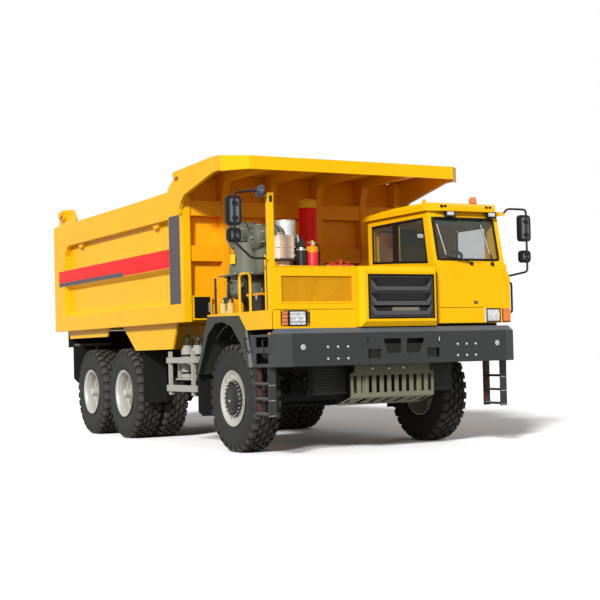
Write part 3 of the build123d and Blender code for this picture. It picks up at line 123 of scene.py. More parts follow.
def painted(name, colour, dust_and_shade=(0.2, 0.14, 0.07), rough=0.42, dust_and_shade_amount=0.25, scale=1.6, peel=0.02,
            shine=0.22, metallic=0.0, soften=0.0):
    """Sprayed paint: slow tone changes, dust and painted shade in the hollows, fine orange peel and softened
    edges.
    """
    tree, shader = new_material(name)
    tone = mottle(tree, noise(tree, scale), 0.3, 0.75, colour, 0.9)
    fine = noise(tree, scale * 18, 6)
    # Turns towards the hollow colour where ambient occlusion is low, in specks from fine noise: dust, and
    # painted shade in corners, creases and recesses
    ao_shade = add(tree, "ShaderNodeAmbientOcclusion", Distance=0.12, samples=4)
    dust_and_shade_mask = add(tree, "ShaderNodeMath", operation="MULTIPLY")
    tree.links.new(ramp(tree, ao_shade.outputs["AO"], (0.2, dust_and_shade_amount), (0.6, 0.0)), dust_and_shade_mask.inputs[0])
    tree.links.new(ramp(tree, fine, (0.35, 0.7), (0.7, 1.0)), dust_and_shade_mask.inputs[1])
    tree.links.new(mix(tree, dust_and_shade_mask.outputs[0], tone, dust_and_shade), shader.inputs["Base Color"])
    smoothest = max(0.05, rough - 0.07)
    tree.links.new(ramp(tree, fine, (0.3, smoothest), (0.75, rough + 0.1)), shader.inputs["Roughness"])
    shader.inputs["Metallic"].default_value = metallic
    shader.inputs["Specular IOR Level"].default_value = shine
    node = bump(tree, shader, noise(tree, 220, 2), peel, GRAIN)
    if soften:
        edge = add(tree, "ShaderNodeBevel", Radius=soften, samples=4)
        tree.links.new(edge.outputs["Normal"], node.inputs["Normal"])


painted("yellow", srgb(253, 192, 8), rough=0.4, dust_and_shade=(0.3, 0.16, 0.03), dust_and_shade_amount=0.4, soften=0.006,
        shine=0.15)
# A deeper orange copy of the yellow for the headboard, which stands in the canopy's shade: painted shade
painted("headboard_shade_yellow", srgb(255, 174, 9), rough=0.45, dust_and_shade=(0.3, 0.12, 0.03), dust_and_shade_amount=0.4, soften=0.006)
painted("bumper_grey", srgb(53, 55, 54), rough=0.5, dust_and_shade=(0.16, 0.14, 0.11), dust_and_shade_amount=0.3, soften=0.008)
painted("strip_grey", srgb(86, 92, 98), rough=0.4, dust_and_shade_amount=0.2)
painted("grille_grey", srgb(56, 54, 52), rough=0.5, dust_and_shade_amount=0.3, soften=0.006)
painted("fender", srgb(52, 53, 45), rough=0.5, dust_and_shade=(0.14, 0.12, 0.09), dust_and_shade_amount=0.4, soften=0.008)
# Pale grey of worn treads, pins and strips, also used for a painted highlight along the fenders' front edges
painted("worn_edge", srgb(118, 120, 116), rough=0.45, dust_and_shade_amount=0.5)
painted("black_chassis", srgb(26, 26, 25), rough=0.6, dust_and_shade=(0.1, 0.085, 0.06), dust_and_shade_amount=0.5)
painted("olive", srgb(122, 120, 98), rough=0.5, dust_and_shade_amount=0.4, soften=0.006)
painted("engine", srgb(104, 106, 92), rough=0.5, dust_and_shade=(0.05, 0.045, 0.035), dust_and_shade_amount=0.7)
painted("dark_iron", srgb(52, 52, 46), rough=0.5, dust_and_shade=(0.03, 0.028, 0.02), dust_and_shade_amount=0.7)
painted("rack", srgb(168, 166, 156), rough=0.45, dust_and_shade_amount=0.5)
painted("red", srgb(222, 20, 18), rough=0.3, shine=0.5)
# A brighter copy of the red for the hoist's sleeve, which stands in the canopy's shade: painted light
painted("sleeve_red", srgb(255, 26, 24), rough=0.4, dust_and_shade_amount=0.1, shine=0.15)
# A brighter copy of the yellow for the hoist's collar in the canopy's shade: painted light
painted("collar_yellow", srgb(255, 206, 40), rough=0.4)
# Paler grey of the grille's slats and wings, lighter than the grille itself: painted light from above
painted("louvre", srgb(80, 80, 84), rough=0.45, dust_and_shade_amount=0.2)
painted("collar_orange", srgb(232, 150, 14), rough=0.4)
painted("silver", srgb(192, 190, 181), rough=0.4, dust_and_shade=(0.16, 0.145, 0.12), dust_and_shade_amount=0.4, metallic=0.3,
        shine=0.4)
painted("tank_white", srgb(255, 228, 206), rough=0.45, dust_and_shade=(0.5, 0.4, 0.3), dust_and_shade_amount=0.2)
painted("black_plastic", srgb(24, 25, 26), rough=0.5, peel=0.1)
painted("spot_back", srgb(58, 66, 78), rough=0.4)
painted("mirror_grey", srgb(104, 110, 114), rough=0.4)
painted("interior", srgb(38, 38, 38), rough=0.7, peel=0.1)
painted("rubber", srgb(22, 22, 21), rough=0.75, dust_and_shade=(0.1, 0.09, 0.07), dust_and_shade_amount=0.3, peel=0.1)
painted("tyre", srgb(50, 50, 48), rough=0.8, dust_and_shade=(0.17, 0.15, 0.12), dust_and_shade_amount=0.4, scale=5, peel=0.2)
painted("tread", srgb(74, 71, 64), rough=0.85, dust_and_shade=(0.2, 0.17, 0.13), dust_and_shade_amount=0.5, scale=7, peel=0.4)
# Near-black for the lugs' flanks and ends, darker than the rubber: painted shade in the grooves
painted("groove", srgb(17, 17, 16), rough=0.9, dust_and_shade=(0.08, 0.07, 0.05), dust_and_shade_amount=0.4, scale=7, peel=0.2)
painted("hub_black", srgb(34, 34, 32), rough=0.45, dust_and_shade=(0.2, 0.18, 0.15), dust_and_shade_amount=0.3)
painted("stripe_red", srgb(247, 26, 26), rough=0.45, dust_and_shade_amount=0.1, shine=0.15)
painted("stripe_grey", srgb(86, 82, 86), rough=0.5, dust_and_shade_amount=0.1, shine=0.15)
painted("primer_red", srgb(112, 48, 34), rough=0.6, dust_and_shade=(0.05, 0.04, 0.03), dust_and_shade_amount=0.4)
painted("brass", (0.5, 0.38, 0.12), rough=0.3, metallic=0.9, dust_and_shade_amount=0.2)
painted("cream", srgb(226, 190, 110), rough=0.35)
# A shaded orange copy of the yellow for the sheet behind the panel's mesh: painted shade
painted("brace_orange", srgb(196, 112, 8), rough=0.5)
painted("mesh_yellow", srgb(244, 176, 14), rough=0.45, dust_and_shade_amount=0.3)
painted("shadow_gap", srgb(14, 13, 12), rough=0.8, dust_and_shade_amount=0.0)
painted("worn_steel", srgb(186, 188, 184), rough=0.35, metallic=0.5, dust_and_shade_amount=0.3)


def metal(name, colour, rough):
    """Bare metal with a brushed roughness."""
    tree, shader = new_material(name)
    brush = noise(tree, 60, 6)
    tree.links.new(mottle(tree, brush, 0.35, 0.7, colour, 0.8), shader.inputs["Base Color"])
    tree.links.new(ramp(tree, brush, (0.3, rough), (0.8, rough + 0.15)), shader.inputs["Roughness"])
    shader.inputs["Metallic"].default_value = 1.0
    bump(tree, shader, noise(tree, 150, 3), 0.08, GRAIN)


metal("steel", (0.55, 0.55, 0.54), 0.25)
metal("chrome", (0.75, 0.75, 0.76), 0.08)
metal("galvanised", (0.62, 0.62, 0.60), 0.35)
metal("mirror", (0.85, 0.87, 0.88), 0.02)


def glass(name, tint, rough, alpha):
    """Glazing: a thin tinted sheet that reflects and lets the inside show."""
    tree, shader = new_material(name)
    streak = noise(tree, 3.0, 3)
    tree.links.new(mottle(tree, streak, 0.4, 0.7, tint, 0.85), shader.inputs["Base Color"])
    tree.links.new(ramp(tree, streak, (0.3, rough), (0.8, rough + 0.04)), shader.inputs["Roughness"])
    shader.inputs["Alpha"].default_value = alpha
    shader.inputs["Specular IOR Level"].default_value = 0.6


glass("window", srgb(84, 106, 100), 0.02, 0.2)


def lens(name, colour):
    """Coloured moulded lens with fine flutes."""
    tree, shader = new_material(name)
    tree.links.new(mottle(tree, noise(tree, 30, 3), 0.3, 0.8, colour, 0.75), shader.inputs["Base Color"])
    shader.inputs["Roughness"].default_value = 0.15
    shader.inputs["Coat Weight"].default_value = 0.5
    coord = add(tree, "ShaderNodeTexCoord")
    wave = add(tree, "ShaderNodeTexWave", Scale=40.0, bands_direction="X")
    tree.links.new(coord.outputs["Object"], wave.inputs["Vector"])
    bump(tree, shader, wave.outputs["Fac"], 0.4, 0.002)


lens("amber", srgb(242, 124, 20))
lens("clear", srgb(225, 228, 230))
lens("brake_red", srgb(180, 12, 10))

NODE_MATERIALS = {
    "yellow": ["front_panels", "grille_block", "post_and_rails", "cab_body", "cab_roof", "cab_door",
               "bed_frame", "bed_sides", "canopy", "tailgate"],
    # The headboard takes the deeper orange copy of the yellow: painted shade
    "headboard_shade_yellow": ["headboard"],
    "bumper_grey": ["bumper", "side_steps"],
    "fender": ["front_fenders"],
    "grille_grey": ["grille"],
    "black_chassis": ["frame_rails", "crossmembers", "springs", "front_axle", "rear_axles", "knuckle_right",
                      "knuckle_left", "tie_rod"],
    "olive": ["sump_guard"], "engine": ["engine", "air_intake"],
    "rack": ["side_rack", "fuel_tank"],
    "red": ["hoist_cover", "extinguisher"],
    "chrome": ["hoist_base", "hoist_stage_1", "hoist_stage_2"],
    "tank_white": ["coolant_tank"],
    "black_plastic": ["mirrors"],
    "interior": ["cab_interior"],
    "rubber": ["mud_flaps", "bed_flaps"],
    "window": ["cab_glass", "door_glass"],
    "clear": ["lamps_clear"],
    "amber": ["lamps_amber"],
    "tyre": [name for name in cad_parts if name.startswith("tyre")],
    "silver": [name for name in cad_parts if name.startswith("rim")],
}
for material, names in NODE_MATERIALS.items():
    for name in names:
        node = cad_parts[name]
        node.data.materials.clear()
        node.data.materials.append(MATERIALS[material])


# Shapes

BOX_FACES = [(0, 2, 3, 1), (4, 5, 7, 6), (0, 1, 5, 4), (2, 6, 7, 3), (0, 4, 6, 2), (1, 3, 7, 5)]
UP = (0, 0, 1)
AHEAD = (0, -1, 0)
BACK = (0, 1, 0)
LEFT = (1, 0, 0)
RIGHT = (-1, 0, 0)


def curved(before, corner, after, reach, steps):
    """A curve in a corner's place, which starts and ends reach from it."""
    start = corner + (before - corner).normalized() * min(reach, (before - corner).length * 0.45)
    stop = corner + (after - corner).normalized() * min(reach, (after - corner).length * 0.45)
    parts = [k / steps for k in range(steps + 1)]
    return [start * (1 - t) ** 2 + corner * 2 * t * (1 - t) + stop * t * t for t in parts]


def rounded(points, reach, steps):
    """An open path with its corners curved."""
    points = [Vector(p) for p in points]
    out = [points[0]]
    for before, corner, after in zip(points, points[1:], points[2:]):
        out += curved(before, corner, after, reach, steps)
    return out + [points[-1]]


def around(count, radius, phase=0.0):
    """Pairs spaced evenly on a circle."""
    angles = [math.tau * (k + phase) / count for k in range(count)]
    return [(radius * math.cos(angle), radius * math.sin(angle)) for angle in angles]


def about(middle, half):
    return middle - half, middle + half


def within(span, inset):
    return span[0] + inset, span[1] - inset


def rectangle(x, z):
    return [(x[0], z[0]), (x[1], z[0]), (x[1], z[1]), (x[0], z[1])]


def placed(pairs, axis, span):
    """Outline points at both ends of a span: axis 0 takes (y, z) pairs, 1 (x, z) and 2 (x, y)."""
    return [(*pair[:axis], along, *pair[axis:]) for along in span for pair in pairs]


def ring_faces(rings, n, loop):
    """Quads between rings of n points, capped at the ends unless the last ring joins the first."""
    faces = []
    for i in range(rings if loop else rings - 1):
        j = (i + 1) % rings
        faces += [(i * n + k, i * n + (k + 1) % n, j * n + (k + 1) % n, j * n + k) for k in range(n)]
    if not loop:
        faces += [tuple(range(n))[::-1], tuple(range((rings - 1) * n, rings * n))]
    return faces


class Shape:
    """A mesh gathered from solids in truck coordinates, each with its own material."""

    def __init__(self):
        self.verts = []
        self.faces = []
        self.looks = []

    def solid(self, verts, faces, look):
        base = len(self.verts)
        self.verts += [Vector(v) for v in verts]
        self.faces += [[base + i for i in face] for face in faces]
        self.looks += look if isinstance(look, list) else [look] * len(faces)

    def block(self, x, y, z, look):
        self.solid([(a, b, c) for c in z for b in y for a in x], BOX_FACES, look)

    def prism(self, points, axis, span, look):
        """An outline pushed along an axis."""
        self.solid(placed(points, axis, span), ring_faces(2, len(points), False), look)

    def lathe(self, profile, centre, direction, look, n=32, loop=False):
        """Rings at (along, radius) round an axis."""
        aim = Vector(direction).normalized()
        side = Vector(UP if abs(aim.z) < 0.9 else BACK).cross(aim).normalized()
        other = aim.cross(side)
        verts = []
        for along, radius in profile:
            middle = Vector(centre) + aim * along
            verts += [middle + side * a + other * b for a, b in around(n, radius)]
        self.solid(verts, ring_faces(len(profile), n, loop), look)

    def rod(self, start, stop, radius, look, n=16):
        aim = Vector(stop) - Vector(start)
        self.lathe([(0, radius), (aim.length, radius)], start, aim, look, n)

    def disc(self, place, direction, radius, low, high, look, n=12):
        self.lathe([(low, radius), (high, radius)], place, direction, look, n)

    def bolt(self, place, direction, radius, height, look="worn_steel"):
        """A hexagon head on its washer."""
        self.disc(place, direction, radius * 1.35, -0.004, height * 0.25, look)
        self.lathe([(0, radius), (height * 0.85, radius), (height, radius * 0.85)], place, direction, look,
                   6)

    def dome(self, place, direction, radius, look="worn_steel"):
        self.lathe([(-0.003, radius), (radius * 0.2, radius * 0.97), (radius * 0.5, radius * 0.7),
                    (radius * 0.62, radius * 0.2)], place, direction, look, 12)

    def tube(self, points, radius, look, n=10, bend=0.0, steps=5, loop=False):
        """A round bar along a path, whose corners are curved if it has a bend."""
        points = rounded(points, bend, steps) if bend else [Vector(p) for p in points]
        count = len(points)
        verts = []
        side = None
        for i, point in enumerate(points):
            if loop:
                aim = points[(i + 1) % count] - points[i - 1]
            else:
                aim = points[min(i + 1, count - 1)] - points[max(i - 1, 0)]
            aim.normalize()
            side = aim.orthogonal() if side is None else side - aim * side.dot(aim)
            side.normalize()
            other = aim.cross(side)
            verts += [point + side * a + other * b for a, b in around(n, radius)]
        self.solid(verts, ring_faces(count, n, loop), look)

    def frame(self, outer, inner, axis, span, look):
        """A flat frame between two outlines with as many corners."""
        n = len(outer)
        faces = []
        for i in range(n):
            j = (i + 1) % n
            faces += [(i, j, j + n, i + n), (i + 2 * n, i + 3 * n, j + 3 * n, j + 2 * n),
                      (i, i + 2 * n, j + 2 * n, j), (i + n, j + n, j + 3 * n, i + 3 * n)]
        self.solid(placed(outer, axis, span) + placed(inner, axis, span), faces, look)

    def mesh_pane(self, x, z, y, pitch, strand, look):
        """Diamond mesh: two layers of slanting strands cut to a rectangle in an XZ plane."""
        slope = 0.62
        reach = (z[1] - z[0]) / slope
        half = strand / 2
        for depth, lean in ((y, slope), (y + 0.002, -slope)):
            place = x[0] - reach
            while place < x[1] + reach:
                (xa, za), (xb, zb) = sorted((place + (level - z[0]) / lean, level) for level in z)
                place += pitch
                start, stop = max(xa, x[0]), min(xb, x[1])
                if stop - start < strand:
                    continue
                rate = (zb - za) / (xb - xa)
                low, high = za + rate * (start - xa), za + rate * (stop - xa)
                self.prism([(start, low - half), (stop, high - half), (stop, high + half),
                            (start, low + half)],
                           1, (depth, depth + 0.0025), look)

    def mirrored(self):
        """All of it so far on the other side as well."""
        count = len(self.verts)
        self.verts += [Vector((-v.x, v.y, v.z)) for v in self.verts]
        self.faces += [[count + i for i in face[::-1]] for face in self.faces]
        self.looks += self.looks
        return self

    def piece(self, name, slot, body="chassis", smooth=35, bevel=0.0):
        """The finished mesh as a piece that rides on a body."""
        mesh = bpy.data.meshes.new(name)
        mesh.from_pydata([(v.x, v.y + Y0, v.z) for v in self.verts], [], self.faces)
        names = sorted(set(self.looks))
        for look in names:
            mesh.materials.append(MATERIALS[look])
        mesh.polygons.foreach_set("material_index", [names.index(look) for look in self.looks])
        mesh.polygons.foreach_set("use_smooth", [True] * len(mesh.polygons))
        shell = bmesh.new()
        shell.from_mesh(mesh)
        bmesh.ops.recalc_face_normals(shell, faces=shell.faces)
        shell.to_mesh(mesh)
        shell.free()
        mesh.set_sharp_from_angle(angle=math.radians(smooth))
        obj = bpy.data.objects.new(name, mesh)
        bpy.context.collection.objects.link(obj)
        if bevel:
            edge = obj.modifiers.new("edges", "BEVEL")
            edge.width = bevel
            edge.segments = 2
            edge.limit_method = "ANGLE"
            edge.angle_limit = math.radians(40)
            edge.harden_normals = True
        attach(obj, body)
        return obj


# Wheels

TYRE_R = 0.684
TREAD_FLOOR = 0.655
PITCHES = 30
AXLES = {"front": (1.4, 0.0), "middle": (1.415, 3.8), "rear": (1.415, 5.28)}    # x of the outer tyre, and y
TWIN_GAP = 0.425
CARCASS = [(0.146, 0.334), (0.150, 0.345), (0.160, 0.350), (0.166, 0.362), (0.163, 0.372), (0.170, 0.40),
           (0.181, 0.445), (0.1865, 0.49), (0.1872, 0.53), (0.185, 0.57), (0.180, 0.60), (0.170, 0.626),
           (0.155, 0.643), (0.135, 0.651), (0.10, TREAD_FLOOR), (0.05, 0.656), (0.0, 0.657)]
SHOULDER = [(0.106, 0.650), (0.110, 0.684), (0.158, 0.680), (0.177, 0.664), (0.186, 0.640), (0.1874, 0.605),
            (0.1845, 0.59)]
HEXAGON = [(-0.029, -0.024), (-0.004, -0.050), (0.024, -0.033), (0.029, 0.024), (0.004, 0.050),
           (-0.024, 0.033)]


def polar(x, radius, angle, centre):
    return Vector((centre[0] + x, centre[1] + radius * math.cos(angle),
                   centre[2] + radius * math.sin(angle)))


def tread_block(shape, outline, centre, angle, top, foot):
    """A lug with sloped flanks and a broken top edge; outline is (x, arc length) round its middle."""
    n = len(outline)
    middle = sum(p[0] for p in outline) / n
    verts = []
    for radius, grow in ((foot, 1.08), (top - 0.005, 1.0), (top, 0.9)):
        for x, arc in outline:
            verts.append(polar(middle + (x - middle) * grow, radius, angle + arc * grow / TYRE_R, centre))
    faces = [tuple(range(2 * n, 3 * n))]
    for ring in (0, n):
        faces += [(ring + i, ring + (i + 1) % n, ring + n + (i + 1) % n, ring + n + i) for i in range(n)]
    # The lug's top takes the paler tread, its flanks the near-black groove colour as painted shade
    shape.solid(verts, faces, ["tread"] + ["groove"] * (len(faces) - 1))


def shoulder_block(shape, side, centre, angle, half):
    """A lug that turns down over the shoulder."""
    verts = []
    for arc, sink in ((-half, 0.007), (-half + 0.006, 0.0), (half - 0.006, 0.0), (half, 0.007)):
        for k, (x, radius) in enumerate(SHOULDER):
            depth = sink if 0 < k < 6 else 0
            verts.append(polar(side * (x - depth * 0.4), radius - depth, angle + arc / TYRE_R, centre))
    n = len(SHOULDER)
    faces = [tuple(range(n)), tuple(range(4 * n - 1, 3 * n - 1, -1))]
    # End faces and the inner flank take the near-black groove colour as painted shade
    looks = ["groove", "groove"]
    for ring in range(3):
        faces += [(ring * n + k, ring * n + k + 1, (ring + 1) * n + k + 1, (ring + 1) * n + k)
                  for k in range(n - 1)]
        looks += ["tread" if ring == 1 and 0 < k < 4 else "groove" if k == 0 else "tyre"
                  for k in range(n - 1)]
    shape.solid(verts, faces, looks)


def tyre(shape, centre):
    """Carcass with five rows of lugs, staggered from row to row, and ribs on both side walls."""
    ring = CARCASS + [(-x, r) for x, r in CARCASS[-2::-1]] + [(-0.140, 0.326), (0.140, 0.326)]
    shape.lathe(ring, centre, LEFT, "tyre", 72, loop=True)
    pitch = math.tau / PITCHES
    for k in range(PITCHES):
        for row, x in enumerate((-0.072, 0.0, 0.072)):
            flip = -1 if row == 1 else 1
            outline = [(x + a * flip, b) for a, b in HEXAGON]
            angle = pitch * (k + 0.5 * (row % 2))
            tread_block(shape, outline[::flip], centre, angle, TYRE_R, TREAD_FLOOR - 0.002)
        for side in (-1, 1):
            shoulder_block(shape, side, centre, pitch * (k + 0.5), 0.046)
    for side in (-1, 1):
        for radius, x in ((0.40, 0.1715), (0.575, 0.1845)):
            rib = [(-0.006, -0.006), (0.0022, -0.003), (0.0022, 0.003), (-0.006, 0.006)]
            shape.lathe([(side * (x + a), radius + b) for a, b in rib], centre, LEFT, "tyre", 72, loop=True)


FRONT_RIM = [(-0.150, 0.322), (-0.150, 0.3337), (0.150, 0.3337), (0.160, 0.338), (0.170, 0.350),
             (0.179, 0.356),
             (0.181, 0.350), (0.178, 0.341), (0.166, 0.322), (0.152, 0.311), (0.147, 0.295), (0.143, 0.24),
             (0.140, 0.200), (0.190, 0.150), (0.205, 0.100), (0.205, 0.002), (0.060, 0.002), (0.060, 0.140),
             (0.122, 0.312)]
REAR_RIM = [(-0.575, 0.320), (-0.575, 0.3337), (0.150, 0.3337), (0.162, 0.340), (0.176, 0.352),
            (0.186, 0.356),
            (0.188, 0.350), (0.186, 0.341), (0.172, 0.322), (0.156, 0.312), (0.120, 0.309), (0.114, 0.300),
            (0.02, 0.297), (0.012, 0.288), (-0.080, 0.284), (-0.096, 0.270), (-0.100, 0.190),
            (-0.040, 0.158),
            (0.030, 0.142), (0.044, 0.128), (0.048, 0.080), (0.176, 0.066), (0.188, 0.052), (0.190, 0.002),
            (-0.485, 0.002), (-0.485, 0.090), (-0.130, 0.110), (-0.150, 0.292)]
FRONT_HUB = [(0.139, 0.214), (0.147, 0.210), (0.152, 0.200), (0.172, 0.184), (0.192, 0.172), (0.198, 0.16),
             (0.202, 0.11), (0.2065, 0.10), (0.2085, 0.085), (0.2085, 0.0)]


def front_wheel_detail(shape, spot, out):
    """Rim and dark hub with its ring of nuts, vent holes and valve."""
    shape.lathe(FRONT_RIM, spot(0), out, "silver", 72, loop=True)
    shape.lathe(FRONT_HUB, spot(0), out, "hub_black", 48)
    for a, b in around(24, 0.224):
        place = spot(0.142, a, b)
        shape.disc(place, out, 0.021, -0.004, 0.006, "worn_steel")
        shape.lathe([(0, 0.0165), (0.030, 0.0165), (0.034, 0.013)], place, out, "hub_black", 6)
        shape.lathe([(0.03, 0.009), (0.048, 0.008)], place, out, "worn_steel", 8)
    for a, b in around(12, 0.132, 0.5):
        shape.bolt(spot(0.199, a, b), out, 0.009, 0.009, "hub_black")
    shape.dome(spot(0.2085, 0.02, -0.03), out, 0.018)
    for a, b in around(8, 0.283, 0.5):
        shape.disc(spot(0.1445, a, b), out, 0.0115, -0.004, 0.002, "shadow_gap")
    shape.tube([spot(0.142, 0.205, 0.205), spot(0.160, 0.214, 0.214), spot(0.176, 0.226, 0.226)], 0.006,
               "brass", 8)


def rear_wheel_detail(shape, spot, out):
    """Deep rim with its studs, hub bolts and valve."""
    shape.lathe(REAR_RIM, spot(0), out, "silver", 72, loop=True)
    for a, b in around(20, 0.238):
        place = spot(-0.096, a, b)
        shape.disc(place, out, 0.019, -0.004, 0.004, "worn_steel", 10)
        shape.disc(place, out, 0.015, 0, 0.03, "hub_black", 6)
    for a, b in around(8, 0.105, 0.5):
        shape.bolt(spot(0.046, a, b), out, 0.008, 0.008)
    shape.tube([spot(-0.06, -0.20, 0.20), spot(0.02, -0.205, 0.205), spot(0.12, -0.207, 0.207)], 0.006,
               "brass", 8)


for axle, (axle_x, axle_y) in AXLES.items():
    for side, word in ((-1, "right"), (1, "left")):

        def spot(along, a=0.0, b=0.0):
            """A place on the wheel, out along its axle and off its middle."""
            return Vector((side * (axle_x + along), axle_y + a, TYRE_R + b))

        body = f"wheel_{axle}_{word}"
        rubber = Shape()
        tyre(rubber, spot(0))
        detail = Shape()
        if axle == "front":
            node = f"tyre_front_{word}"
            front_wheel_detail(detail, spot, (side, 0, 0))
        else:
            node = f"tyres_{axle}_{word}"
            tyre(rubber, spot(-TWIN_GAP))
            rear_wheel_detail(detail, spot, (side, 0, 0))
        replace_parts(rubber.piece(f"tread_tyres_{axle}_{word}", "tyre", body, smooth=30), node)
        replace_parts(detail.piece(f"wheel_rims_{axle}_{word}", "rim_silver", body), f"rim_{axle}_{word}")


# Bed

SKIN = 1.7400             # outermost face of the bed side
STRIPE = (SKIN - 0.001, SKIN + 0.0012)

shape = Shape()
shape.block(STRIPE, (1.56, 6.39), (2.446, 2.700), "stripe_red")
shape.mirrored().piece("stripes_red", "hoist_red", "bed")

shape = Shape()
shape.prism([(3.376, 2.504), (6.3905, 2.504), (6.3905, 2.4405), (3.344, 2.4405)], 0,
            (STRIPE[0], SKIN + 0.002),
            "stripe_grey")
shape.block(STRIPE, (1.19, 1.56), (1.94, 3.14), "stripe_grey")
shape.mirrored().piece("stripes_grey", "grey_paint", "bed")

# Round holes, the gate's pivot cap and weld beads
shape = Shape()
for y in (2.13, 5.36):
    shape.disc((1.6855, y, 3.075), LEFT, 0.028, 0, 0.002, "shadow_gap", 16)
shape.lathe([(0, 0.06), (0.012, 0.06), (0.016, 0.052)], (SKIN - 0.008, 6.32, 3.66), LEFT, "yellow", 24)
shape.bolt((SKIN, 6.32, 3.66), LEFT, 0.022, 0.016, "steel")
for y, z in ((6.22, 3.70), (6.42, 3.70), (6.25, 3.60), (6.40, 3.60)):
    shape.bolt((SKIN - 0.04, y, z), LEFT, 0.014, 0.012, "yellow")
for z in (1.930, 2.380, 2.710, 3.110):
    shape.tube([(1.6525, 1.6, z), (1.6525, 6.09, z)], 0.006, "yellow", 6)
shape.mirrored().piece("bed_fittings", "yellow_paint", "bed", bevel=0.002)

# Rubber valance over the rear tyres, under the bed's edge
shape = Shape()
shape.block((0.40, 1.60), (6.38, 6.392), (1.42, 1.692), "rubber")
shape.block((0.40, 1.60), (6.376, 6.382), (1.66, 1.692), "hub_black")
for x in (0.5, 0.75, 1.0, 1.25, 1.5):
    shape.dome((x, 6.376, 1.676), AHEAD, 0.01)
    shape.dome((x, 6.392, 1.676), BACK, 0.01)
shape.mirrored().piece("tail_valance", "flap_rubber", "bed")

# Black mesh plate in its frame on the headboard
shape = Shape()
vent_x, vent_z = (-1.615, -1.335), (1.715, 2.045)
shape.frame(rectangle(vent_x, vent_z), rectangle(within(vent_x, 0.02), within(vent_z, 0.02)), 1,
            (1.078, 1.112), "yellow")
shape.block(within(vent_x, 0.015), (1.092, 1.106), within(vent_z, 0.015), "shadow_gap")
shape.mesh_pane(within(vent_x, 0.019), within(vent_z, 0.019), 1.086, 0.022, 0.006, "black_plastic")
shape.block((-1.385, -1.36), (1.078, 1.088), (1.82, 1.95), "worn_steel")
shape.piece("headboard_vent", "black_plastic", "bed")


# Front

NOSE = -1.4535            # face of the lamps and of the panel's mesh frame
BUMPER = -1.587           # face of the bumper


def headlamp(shape, x, z):
    """Faceted twin lamp in a black bezel."""
    columns, rows = 9, 6
    shape.frame(rectangle(within(x, -0.012), within(z, -0.012)),
                rectangle(within(x, 0.004), within(z, 0.004)), 1, (NOSE - 0.004, NOSE + 0.012),
                "black_plastic")
    middle = (z[0] + z[1]) / 2
    width = x[1] - x[0]
    radius = width * 0.235
    for k in (0.28, 0.72):
        across = x[0] + width * k
        shape.lathe([(0.0, radius), (0.004, radius), (0.001, radius * 0.8), (0.0015, radius * 0.3)],
                    (across, NOSE - 0.003, middle), AHEAD, "chrome", 24)
        shape.dome((across, NOSE - 0.004, middle), AHEAD, 0.013)
    left, low = x[0] + 0.006, z[0] + 0.006
    wide, tall = width - 0.012, z[1] - z[0] - 0.012
    for i in range(columns):
        for j in range(rows):
            a, b = left + wide * i / columns, left + wide * (i + 1) / columns
            c, d = low + tall * j / rows, low + tall * (j + 1) / rows
            peak = ((a + b) / 2, NOSE - 0.0055 + 0.002 * ((i + j) % 3), (c + d) / 2)
            shape.solid([(a, NOSE, c), (b, NOSE, c), (b, NOSE, d), (a, NOSE, d), peak],
                        [(0, 1, 4), (1, 2, 4), (2, 3, 4), (3, 0, 4)],
                        "chrome" if (i * 2 + j) % 3 else "worn_steel")


shape = Shape()
headlamp(shape, (-1.503, -1.286), (1.572, 1.735))
headlamp(shape, (1.36, 1.56), (1.59, 1.742))
# Wire guard round the right lamp's niche
wires = -1.458
shape.tube([(-1.615, wires, 1.57), (-1.24, wires, 1.57), (-1.24, wires, 1.74), (-1.615, wires, 1.74),
            (-1.615, wires, 1.58)], 0.0045, "black_plastic", 8, bend=0.015)
for x in (-1.615, -1.52, -1.505, -1.27, -1.245):
    shape.tube([(x, wires, 1.57), (x, wires, 1.74)], 0.004, "black_plastic", 8)
for z in (1.61, 1.655, 1.70):
    shape.tube([(-1.615, -1.460, z), (-1.24, -1.460, z)], 0.0025, "black_plastic", 6)
for x in (-1.60, -1.255):
    for z in (1.575, 1.735):
        shape.block(about(x, 0.012), (-1.463, -1.449), about(z, 0.01), "collar_orange")
shape.piece("headlamp_trim", "black_plastic")

# Sloped strip that closes the bumper to the panels
shape = Shape()
low_line = [(-1.74, -1.41), (-1.74, -1.487), (-1.55, BUMPER), (1.55, BUMPER), (1.74, -1.487), (1.74, -1.41)]
high_line = [(-1.70, -1.41), (-1.70, -1.445), (-1.53, -1.515), (1.53, -1.515), (1.70, -1.445), (1.70, -1.41)]
shape.solid([(x, y, 1.468) for x, y in low_line] + [(x, y, 1.531) for x, y in high_line],
            ring_faces(2, len(low_line), False), "strip_grey")
shape.piece("bumper_strip", "grey_paint", bevel=0.004)

shape = Shape()
for x in (0.795, 0.933, 1.07):
    for z in (1.305, 1.165):
        shape.dome((x, BUMPER, z), AHEAD, 0.017)
shape.lathe([(0, 0.034), (0.004, 0.034), (0.006, 0.026)], (1.405, BUMPER, 1.31), AHEAD, "worn_steel", 20)
shape.lathe([(0.004, 0.018), (0.007, 0.014)], (1.405, BUMPER, 1.31), AHEAD, "worn_steel", 12)
for a, b in around(4, 0.045):
    shape.dome((1.405 + a, BUMPER, 1.31 + b), AHEAD, 0.006, "hub_black")
shape.mirrored().piece("bumper_bolts", "rack_paint")

shape = Shape()
shape.mesh_pane((-1.605, -0.632), (1.842, 2.154), -1.437, 0.020, 0.0050, "mesh_yellow")
shape.frame(rectangle((-1.622, -0.615), (1.825, 2.171)), rectangle((-1.600, -0.637), (1.847, 2.149)), 1,
            (NOSE, -1.432), "yellow")
for x in (-1.55, -1.33, -1.12, -0.90, -0.69):
    for z in (1.836, 2.160):
        shape.dome((x, NOSE, z), AHEAD, 0.006, "yellow")
shape.piece("panel_mesh", "yellow_paint")

